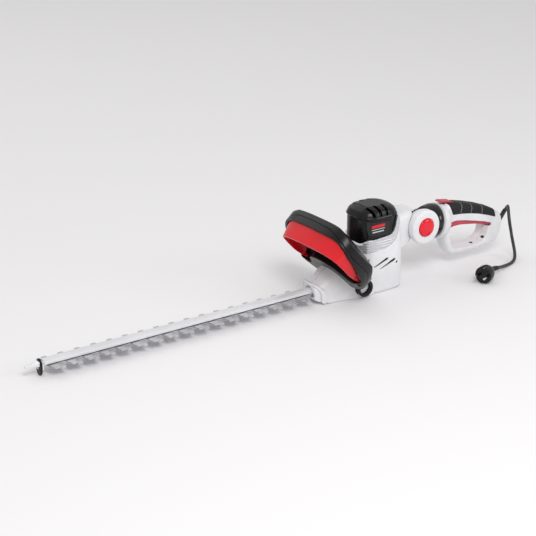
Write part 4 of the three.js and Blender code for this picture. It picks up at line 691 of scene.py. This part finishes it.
def makeDrums():
    s = swivelSettings
    inner, outer = s["drumInner"], s["drumOuter"]
    r, fr, fo = s["drumRadius"], s["farRadius"], s["farOuter"]
    bore, well = s["pinRadius"] + s["clearance"], s["buttonRadius"] + s["clearance"]
    near = [
        (bore, -inner), (s["drumWaist"], -inner), (r, -inner - 12), (r, -outer + 4), (r - 1.2, -outer + 1.2),
        (r - 4, -outer), (s["buttonRadius"] + 1.4, -outer), (well, -outer + 1.1), (well, -inner - 10.2),
        (bore, -inner - 10.2), (bore, -inner),
    ]
    far = [
        (bore, inner), (fr - 2, inner), (fr, inner + 12), (fr, fo - 4), (fr - 1.2, fo - 1.2), (fr - 4, fo),
        (0, fo), (0, fo - 5), (bore, fo - 5), (bore, inner),
    ]
    install(turned("drum_near", near, crossPlace, 128, 1.2), "pivot_drum_left")
    install(turned("drum_far", far, crossPlace, 112, 1.2), "pivot_drum_right")


def makeButton():
    s = swivelSettings
    outer, radius, rim = s["drumOuter"], s["buttonRadius"], 0.2
    well, wellFloor = s["buttonWell"]
    back = -outer + s["buttonBack"]
    floorAt = -outer + wellFloor
    profile = [(0, floorAt), (well, floorAt), (well, back), (radius, back), (radius, -outer - rim)]
    for i in range(1, 11):
        quarter = i / 10 * math.pi / 2
        reach = radius * math.cos(quarter) ** 0.75 if i < 10 else 0
        profile.append((reach, -outer - rim - (s["buttonDome"] - rim) * math.sin(quarter)))
    button = turned("tilt_button", profile, crossPlace, 96, 0.7, 3)
    button.data.materials.append(finishes["button"])
    install(button, "lock_button")


# The collar is cut free of both drums, and the ring turns on its spigot in front of its flange.
def makeCollarAndRing():
    s = swivelSettings
    front, rear, radius, bore = s["collarFront"], s["collarRear"], s["collarRadius"], s["collarBore"]
    spigot, (flange, flangeFront, flangeRear) = s["spigotRadius"], s["flange"]
    profile = [
        (bore, front), (radius - 5.5, front), (radius - 2.5, front + 9), (radius, front + 17), (radius, rear),
        (spigot + 0.4, rear), (spigot, rear), (spigot, rear + 0.4), (spigot, flangeFront),
        (flange, flangeFront), (flange, flangeRear), (bore, flangeRear), (bore, front),
    ]
    collar = turned("tilt_collar", profile, handlePlace, 128, 3.0, 5)
    nearRoom, farRoom = s["drumRadius"] + s["drumRoom"], s["farRadius"] + s["drumRoom"]
    rooms = [
        turned("room", [(0, -80), (nearRoom, -80), (nearRoom, 0), (0, 0)], crossPlace),
        turned("room", [(0, -1), (farRoom, -1), (farRoom, 80), (0, 80)], crossPlace),
    ]
    install(cutWith(collar, *rooms), "swivel_collar")
    outside, inside, end = s["ringRadius"], spigot + s["clearance"], s["ringRear"]
    start = rear + s["clearance"]
    profile = [
        (inside, start), (outside - 1.2, start), (outside, rear + 1.5), (outside, end - 1),
        (outside - 1, end), (inside, end), (inside, start),
    ]
    install(turned("turn_ring", profile, handlePlace, 128, 0.8), "swivel_ring")


makeDrums()
makeButton()
makeCollarAndRing()
print("swivel made")

# The hoop stands in its own plane: x across the tool, up along the hoop and depth to the rear.
hoopSettings = {
    "tilt": 42.5, "originX": -8,
    "outer": [
        (0, 181.5), (48, 180), (80, 173.5), (97, 160), (105, 138), (105, 112),
        (102, 88), (95, 62), (84, 44), (66, 32), (50, 25), (0, 22),
    ],
    "opening": [
        (0, 153), (42, 152), (70, 144), (85, 125), (89, 98), (86, 78),
        (74, 66), (58, 70), (48, 90), (30, 108), (0, 113),
    ],
    "outerFacets": 2, "fineSteps": 16, "evenReach": 12,
    "barTaperTop": 104, "barTaperEnd": 66, "barHingeDepth": 8, "barTipShare": 0.22,
}


# A half outline completed on the other side of the middle.
def mirrored(points):
    return points + [(-x, y) for x, y in reversed(points) if x > 0]


# A closed curve through points, with the given steps from each point to the next.
def closedCurve(points, steps):
    count = len(points)
    curve = []
    for i in range(count):
        a, b, c, d = (Vector(points[(i + k - 1) % count]) for k in range(4))
        before, here, after = ((q - p).length ** 0.5 for p, q in ((a, b), (b, c), (c, d)))
        leave = ((b - a) / before - (c - a) / (before + here) + (c - b) / here) * here
        arrive = ((c - b) / here - (d - b) / (here + after) + (d - c) / after) * here
        for k in range(steps):
            t = k / steps
            cubic = b * (2 * t ** 3 - 3 * t ** 2 + 1) + c * (3 * t ** 2 - 2 * t ** 3)
            curve.append(cubic + leave * (t ** 3 - 2 * t ** 2 + t) + arrive * (t ** 3 - t ** 2))
    return np.array(curve)


# The same curve with its curvature evened out over a few millimetres.
def evened(curve, reach, rounds=3):
    kernel = range(-reach, reach + 1)
    for _ in range(rounds):
        curve = sum(np.roll(curve, k, axis=0) for k in kernel) / len(kernel)
    return curve


# How far each point lies from a faceted outline, and the shift that carries it to the smooth one.
def outlineShift(flat, coarse, fine):
    ratio = len(fine) // len(coarse)
    following = np.roll(coarse, -1, axis=0)
    along = following - coarse
    offset = flat[:, None, :] - coarse[None, :, :]
    share = np.clip((offset * along).sum(2) / (along ** 2).sum(1), 0, 1)
    nearest = coarse[None, :, :] + share[:, :, None] * along[None, :, :]
    distance = np.linalg.norm(flat[:, None, :] - nearest, axis=2)
    edge = distance.argmin(1)
    rows = np.arange(len(flat))
    position = (edge + share[rows, edge]) * ratio
    low = position.astype(int)
    part = (position - low)[:, None]
    smooth = fine[low % len(fine)] * (1 - part) + fine[(low + 1) % len(fine)] * part
    return distance[rows, edge], smooth - nearest[rows, edge]


hoopTilt = math.radians(hoopSettings["tilt"])
tiltCos, tiltSin = math.cos(hoopTilt), math.sin(hoopTilt)


# From places in metres to the hoop's own plane in mm, and back.
def toHoop(places):
    x = places[:, 0] / mm - hoopSettings["originX"]
    z = places[:, 2] / mm
    up = z * tiltCos - x * tiltSin
    depth = x * tiltCos + z * tiltSin
    return np.stack([places[:, 1] / mm, up, depth], axis=1)


def fromHoop(local):
    x = local[:, 2] * tiltCos - local[:, 1] * tiltSin + hoopSettings["originX"]
    z = local[:, 1] * tiltCos + local[:, 2] * tiltSin
    return np.stack([x, local[:, 0], z], axis=1) * mm


outerPoints = mirrored(hoopSettings["outer"])
openingPoints = mirrored(hoopSettings["opening"])
fineSteps, evenReach = hoopSettings["fineSteps"], hoopSettings["evenReach"]
outerCoarse = closedCurve(outerPoints, hoopSettings["outerFacets"])
outerFine = evened(closedCurve(outerPoints, fineSteps), evenReach)
openingFine = evened(closedCurve(openingPoints, fineSteps), evenReach // 2)


def bendHoop(places):
    local = toHoop(places)
    outside, outerShift = outlineShift(local[:, :2], outerCoarse, outerFine)
    inside, innerShift = outlineShift(local[:, :2], np.array(openingPoints), openingFine)
    share = (inside / (inside + outside + 1e-6))[:, None]
    local[:, :2] += outerShift * share + innerShift * (1 - share)
    return fromHoop(local)


# The bar follows the hoop and its two ends taper towards the hinge.
def bendBar(places):
    h = hoopSettings
    local = toHoop(places)
    _, shift = outlineShift(local[:, :2], outerCoarse, outerFine)
    local[:, :2] += shift
    fall = np.clip((h["barTaperTop"] - local[:, 1]) / (h["barTaperTop"] - h["barTaperEnd"]), 0, 1)
    size = 1 - (1 - h["barTipShare"]) * fall ** 1.3
    local[:, 2] = h["barHingeDepth"] + (local[:, 2] - h["barHingeDepth"]) * size
    return fromHoop(local)


# The rim of the motor cap stands out over the walls below it, and its crown is full up to the shoulder.
capSettings = {
    "rimHeight": 153.8, "rimHalf": 1.3, "rimProud": 0.7, "middleX": 45,
    "crownHeights": [160, 165.5, 170, 173.5], "crownShares": [1, 1.04, 1.13, 1.3],
    "flatHalf": 14.5, "flatSpan": (25, 64), "flatFrom": 171, "top": 173.5,
}


def bendCap(places):
    c = capSettings
    flat = places[:, :2] / mm - (c["middleX"], 0)
    height = places[:, 2] / mm
    along = places[:, 0] / mm
    inFlat = (np.abs(flat[:, 1]) < c["flatHalf"]) & (height > c["flatFrom"])
    inFlat &= (along > c["flatSpan"][0]) & (along < c["flatSpan"][1])
    height = np.where(inFlat, c["top"], height)
    away = flat / (np.linalg.norm(flat, axis=1)[:, None] + 1e-9)
    rise = np.exp(-((height - c["rimHeight"]) / c["rimHalf"]) ** 2)
    flat = flat * np.interp(height, c["crownHeights"], c["crownShares"])[:, None]
    flat += away * (rise * c["rimProud"])[:, None]
    return np.column_stack([flat + (c["middleX"], 0), height]) * mm


# Level ridges run around the silver skirt below the cap.
ridgeSettings = {"top": 112, "pitch": 5, "depth": 0.3, "middleX": 46}


def ridgeSkirt(places):
    r = ridgeSettings
    height = places[:, 2] / mm
    flat = places[:, :2] / mm - (r["middleX"], 0)
    away = flat / (np.linalg.norm(flat, axis=1)[:, None] + 1e-9)
    share = np.clip((r["top"] - height) / 3, 0, 1)
    wave = np.sin(2 * math.pi * height / r["pitch"]) * r["depth"] * share
    places = places.copy()
    places[:, :2] += away * (wave * mm)[:, None]
    return places


# The moulded pieces: the step of each one's skin in mm, and how far its facets are eased away.
shellSettings = {
    "housing_left": dict(pieceName="housing_near", angle=38),
    "housing_right": dict(pieceName="housing_far", angle=38),
    "silver_band": dict(pieceName="silver_skirt", voxel=0.65, angle=38, after=ridgeSkirt),
    "motor_cap": dict(pieceName="cap_shell", voxel=0.75, angle=38, spread=40, bend=bendCap),
    "bail_front": dict(pieceName="hoop_front", voxel=0.95, spread=60, bend=bendHoop),
    "bail_rear": dict(pieceName="hoop_rear", voxel=0.95, spread=60, bend=bendHoop),
    "switch_bar": dict(pieceName="hoop_switch_bar", voxel=0.7, spread=50, bend=bendBar),
    "handle_left": dict(pieceName="handle_near", voxel=0.9),
    "handle_right": dict(pieceName="handle_far", voxel=0.9),
    "grip": dict(pieceName="grip_sleeve", voxel=0.6, spread=24),
    "trigger": dict(pieceName="finger_lever", voxel=0.6),
    "lock_slide": dict(pieceName="slide_cap", voxel=0.5),
    "tip_plate": dict(pieceName="end_plate", voxel=0.5, angle=38),
    "tip_guard": dict(pieceName="end_guard", voxel=0.5, angle=38),
}
for nodeName, settings in shellSettings.items():
    shell = moulded(nodeName, **settings)
    install(shell, nodeName)
    print("shell", nodeName, len(shell.data.polygons), "faces")


# A tree that repeats its own object's mesh: count copies, each a step further and turned a little more.
def repeatTree():
    tree = bpy.data.node_groups.new("repeatForm", "GeometryNodeTree")
    sockets = [
        ("Form", "INPUT", "Geometry"), ("Count", "INPUT", "Int"), ("Step", "INPUT", "Vector"),
        ("Turn", "INPUT", "Float"), ("Finish", "INPUT", "Material"), ("Copies", "OUTPUT", "Geometry"),
    ]
    for name, direction, kind in sockets:
        tree.interface.new_socket(name=name, in_out=direction, socket_type="NodeSocket" + kind)
    given = addNode(tree, "NodeGroupInput")
    steps = {"Count": (given, "Count"), "Offset": (given, "Step")}
    line = addNode(tree, "GeometryNodeMeshLine", steps, mode="OFFSET")
    index = addNode(tree, "GeometryNodeInputIndex")
    angle = addNode(tree, "ShaderNodeMath", {0: (index, 0), 1: (given, "Turn")}, operation="MULTIPLY")
    turn = addNode(tree, "ShaderNodeCombineXYZ", {"Z": (angle, 0)})
    spread = {"Points": (line, 0), "Instance": (given, "Form"), "Rotation": (turn, 0)}
    copies = addNode(tree, "GeometryNodeInstanceOnPoints", spread)
    real = addNode(tree, "GeometryNodeRealizeInstances", {"Geometry": (copies, 0)})
    coat = {"Geometry": (real, 0), "Material": (given, "Finish")}
    finished = addNode(tree, "GeometryNodeSetMaterial", coat)
    addNode(tree, "NodeGroupOutput", {"Copies": (finished, 0)})
    return tree


repeatForm = repeatTree()


# Repeats the mesh of a piece along a line or around the Z axis, then sets it in its place.
def repeated(piece, finish, count, step=(0, 0, 0), turn=0.0, place=unmoved):
    array = piece.modifiers.new("copies", "NODES")
    array.node_group = repeatForm
    wanted = {"Count": count, "Step": [part * mm for part in step], "Turn": turn, "Finish": finish}
    for item in repeatForm.interface.items_tree:
        if item.in_out == "INPUT" and item.name in wanted:
            array[item.identifier] = wanted[item.name]
    settle(piece)
    closeUp(piece.data, place)


# The teeth of both blades, each with its flanks ground to a thin cutting edge where the blades meet.
toothSettings = {
    "first": -666, "pitch": 33, "count": 17,
    "tip": 28, "root": 10, "rootHalf": 9, "tipHalf": 4.5,
    "grind": 2.2, "thickness": 2.3, "edge": 0.5,
    "lowerBottom": 15, "upperBottom": 17.7, "lowerShift": 12,
    "lift": 0.06, "swell": -0.05,
}


def toothOutline(side, inset, height):
    t = toothSettings
    root, tip = t["rootHalf"] - inset, t["tipHalf"] - inset
    end = t["tip"] - inset * 0.6
    corners = (-root, t["root"]), (root, t["root"]), (tip, end), (-tip, end)
    return [(x, side * y, height) for x, y in corners]


def makeTeeth():
    t = toothSettings
    low, high = -t["lift"], t["thickness"] + t["lift"]
    upper = [(0.0, low), (t["swell"], low + t["edge"]), (t["grind"], high)]
    lower = [(t["grind"], low), (t["swell"], high - t["edge"]), (0.0, high)]
    blades = {
        "blade_lower": (lower, t["lowerBottom"], t["lowerShift"]),
        "blade_upper": (upper, t["upperBottom"], 0),
    }
    for blade, (levels, bottom, shift) in blades.items():
        place = placeAt((t["first"] + shift, 0, bottom))
        for side, name in ((-1, blade + "_teeth_near"), (1, blade + "_teeth_far")):
            tooth = lofted(name, [toothOutline(side, inset, height) for inset, height in levels], smooth=20)
            repeated(tooth, finishes["blade_steel"], t["count"], step=(t["pitch"], 0, 0), place=place)
            shadeSmooth(tooth.data, 20)
            install(tooth, body=bodyOf[blade], slot="blade_steel")


makeTeeth()
print("teeth made")

# The collar that stands proud around the bar and the blades at the front of the housing.
collarSettings = {
    "front": -111, "rear": -103, "half": 33, "bottom": 3.5, "top": 41,
    "shoulder": 22, "bow": 17, "rounding": 2.2,
    "slotHalf": 16, "slotBottom": 12.5, "slotTop": 21.8,
    "barHalf": 11.2, "barShoulder": 24.5, "barTop": 30.3,
    "cutSpan": (-130, -90), "edge": 0.5,
}


# Points of a quarter of an ellipse, from its side up to its top.
def quarterArch(middle, base, wide, high, steps=12):
    angles = [math.pi / 2 * i / steps for i in range(1, steps + 1)]
    return [(middle + wide * math.cos(angle), base + high * math.sin(angle)) for angle in angles]


def archRing(x, inset):
    c = collarSettings
    half, bottom, top = c["half"] - inset, c["bottom"] + inset, c["top"] - inset
    corner = c["shoulder"] - inset
    ring = [(half, bottom), (half, top - corner)] + quarterArch(half - corner, top - corner, corner, corner)
    ring += [(-y, z) for y, z in reversed(ring)]
    return [(x + c["bow"] * (y / c["half"]) ** 2, y, z) for y, z in ring]


def makeCollar():
    c = collarSettings
    front, rear, r = c["front"], c["rear"], c["rounding"]
    stations = [(front, r), (front + r * 0.3, r * 0.3), (front + r, 0), (rear - r, 0), (rear, r * 0.8)]
    collar = lofted("blade_collar", [archRing(x, inset) for x, inset in stations])
    before, behind = c["cutSpan"]
    slot = blockAt("slot", (before, -c["slotHalf"], c["slotBottom"]), (behind, c["slotHalf"], c["slotTop"]))
    arch = [(c["barHalf"], c["slotTop"] - 2), (c["barHalf"], c["barShoulder"])]
    arch += quarterArch(0, c["barShoulder"], c["barHalf"], c["barTop"] - c["barShoulder"])
    ring = arch + [(-y, z) for y, z in reversed(arch[:-1])]
    bar = lofted("bar", [[(x, y, z) for y, z in ring] for x in c["cutSpan"]])
    cutWith(collar, slot, bar)
    rounded(collar, c["edge"], 50)
    install(collar, body=bodyOf["housing_left"], slot="white_plastic")


makeCollar()

# The lanyard eye at the foot of the hoop, as a rounded ring.
eyeSettings = {"centre": (-6.5, -50, 22), "outer": 17.6, "inner": 12.9, "half": 2.4, "rounding": 1.1}


def makeEye():
    e = eyeSettings
    inner, outer, half = e["inner"], e["outer"], e["half"]
    profile = [(inner, -half), (outer, -half), (outer, half), (inner, half), (inner, -half)]
    place = placeAt(e["centre"]) @ alongY
    ring = turned("lanyard_eye", profile, place, 72, e["rounding"], 5)
    install(ring, body=bodyOf["bail_front"], slot="black_plastic")


makeEye()

# The badge place on the cap: a glossy plate in a fine rim, with plain stripes and nothing to read.
badgeSettings = {
    "stripes": [  # from and to along the cap, from and to in height, finish
        (14, 46, 136.5, 142.5, "red_plastic"),
        (14, 46, 132.6, 134, "grey_plastic"),
        (16, 44, 127, 129.4, "grey_plastic"),
    ],
    "faceY": -40.4, "stripeProud": 0.25, "stripeSunk": 0.6, "edge": 0.12,
}


def makeBadge():
    b = badgeSettings
    install(mergedCopy("label_plate", "badge_plate"), "label_plate")
    for i, (x0, x1, z0, z1, slot) in enumerate(b["stripes"]):
        low = (x0, b["faceY"] - b["stripeProud"], z0)
        high = (x1, b["faceY"] + b["stripeSunk"], z1)
        stripe = rounded(blockAt(f"badge_stripe_{i + 1}", low, high), b["edge"])
        install(stripe, body=bodyOf["label_plate"], slot=slot)


makeBadge()

# Detent teeth between the neck and the near drum, in the drum's own turned frame.
detentSettings = {"count": 40, "low": (24.9, -1.2, -21.2), "high": (32.5, 1.2, -17.2), "edge": 0.4}


def makeDetent():
    d = detentSettings
    tooth = rounded(blockAt("drum_detent", d["low"], d["high"]), d["edge"])
    turn = 2 * math.pi / d["count"]
    repeated(tooth, finishes["black_plastic"], d["count"], turn=turn, place=crossPlace)
    install(tooth, body=bodyOf["pivot_drum_left"], slot="black_plastic")


# Dark strips on both sides that paint shade: one behind the louvres, and one along each of the bar's two
# lower edges.
stripSettings = {
    # Painted shade: a dark sheet behind the louvres stands for the shade inside the housing seen through the
    # slots.
    "louvre_shade_sheet": {"low": (9, 38.6, 45), "high": (84, 39.4, 75), "on": "housing_left"},
    # Painted shade: thin dark strips along the bar's lower edges stand for the shaded gap between the bar and
    # the blades.
    "cover_gap_shade": {"low": (-681, 10.2, 20.35), "high": (-112, 10.8, 21.5), "on": "bar_cover"},
}


def makeStrips(kind):
    strip = stripSettings[kind]
    for side, end in ((-1, "_near"), (1, "_far")):
        piece = sideBlock(kind + end, side, 1, strip["low"], strip["high"])
        install(piece, body=bodyOf[strip["on"]], slot="soft_black")


makeDetent()
# Painted shade behind the louvres.
makeStrips("louvre_shade_sheet")

# Painted shade of the screw wells on the lower bar of the rear handle: flat dark round spots, found on its
# moulded skin.
wellShadeSettings = {
    "radius": 3.2, "length": 9.5, "sunk": 0.5, "proud": 0.15, "above": -25,
    "places": [(168, -5), (192, -11)],
}


def makeWellShades():
    w = wellShadeSettings
    shell = bpy.data.objects["handle_near"]
    down = (rearPlace.to_3x3() @ Vector((0, 0, -1))).normalized()
    stretch = Matrix.Diagonal((w["length"] / (2 * w["radius"]), 1, 1, 1))
    profile = [(0, -w["sunk"]), (w["radius"], -w["sunk"]), (w["radius"], w["proud"]), (0, w["proud"])]
    for i, (along, y) in enumerate(w["places"]):
        hit, point, normal, _ = shell.ray_cast(rearPlace @ (Vector((along, y, w["above"])) * mm), down)
        if not hit:
            raise RuntimeError("no handle skin under a screw well")
        place = Matrix.Translation(point) @ normal.to_track_quat("Z", "Y").to_matrix().to_4x4()
        # A flat dark spot on the skin, painted shade for the inside of the well.
        spot = turned(f"screw_well_shade_{i + 1}", profile, place @ stretch, 32)
        install(spot, body="rear_handle", slot="soft_black")


# Thin pale inlays across the soft grip, which follow its skin.
inlaySettings = {"places": [113, 141, 171], "width": 1.0, "reach": 60, "proud": 0.72}


def makeInlays():
    n = inlaySettings
    half, reach = n["width"] / 2, n["reach"]
    for i, along in enumerate(n["places"]):
        strip = mergedCopy("grip", f"grip_inlay_{i + 1}")
        room = blockAt("room", (along - half, -reach, 0), (along + half, reach, reach), rearPlace)
        combined(strip, "INTERSECT", room)
        swell = strip.modifiers.new("swell", "DISPLACE")
        swell.strength = n["proud"] * mm
        swell.mid_level = 0
        settle(strip)
        strip.data.materials.clear()
        strip.data.materials.append(finishes["inlay"])
        shadeSmooth(strip.data, 50)
        install(strip, body="rear_handle", slot="grey_plastic")


# Painted shade in the screw wells, then the grip's inlays.
makeWellShades()
makeInlays()
# Painted shade along the bar's two lower edges.
makeStrips("cover_gap_shade")
print("small pieces made")
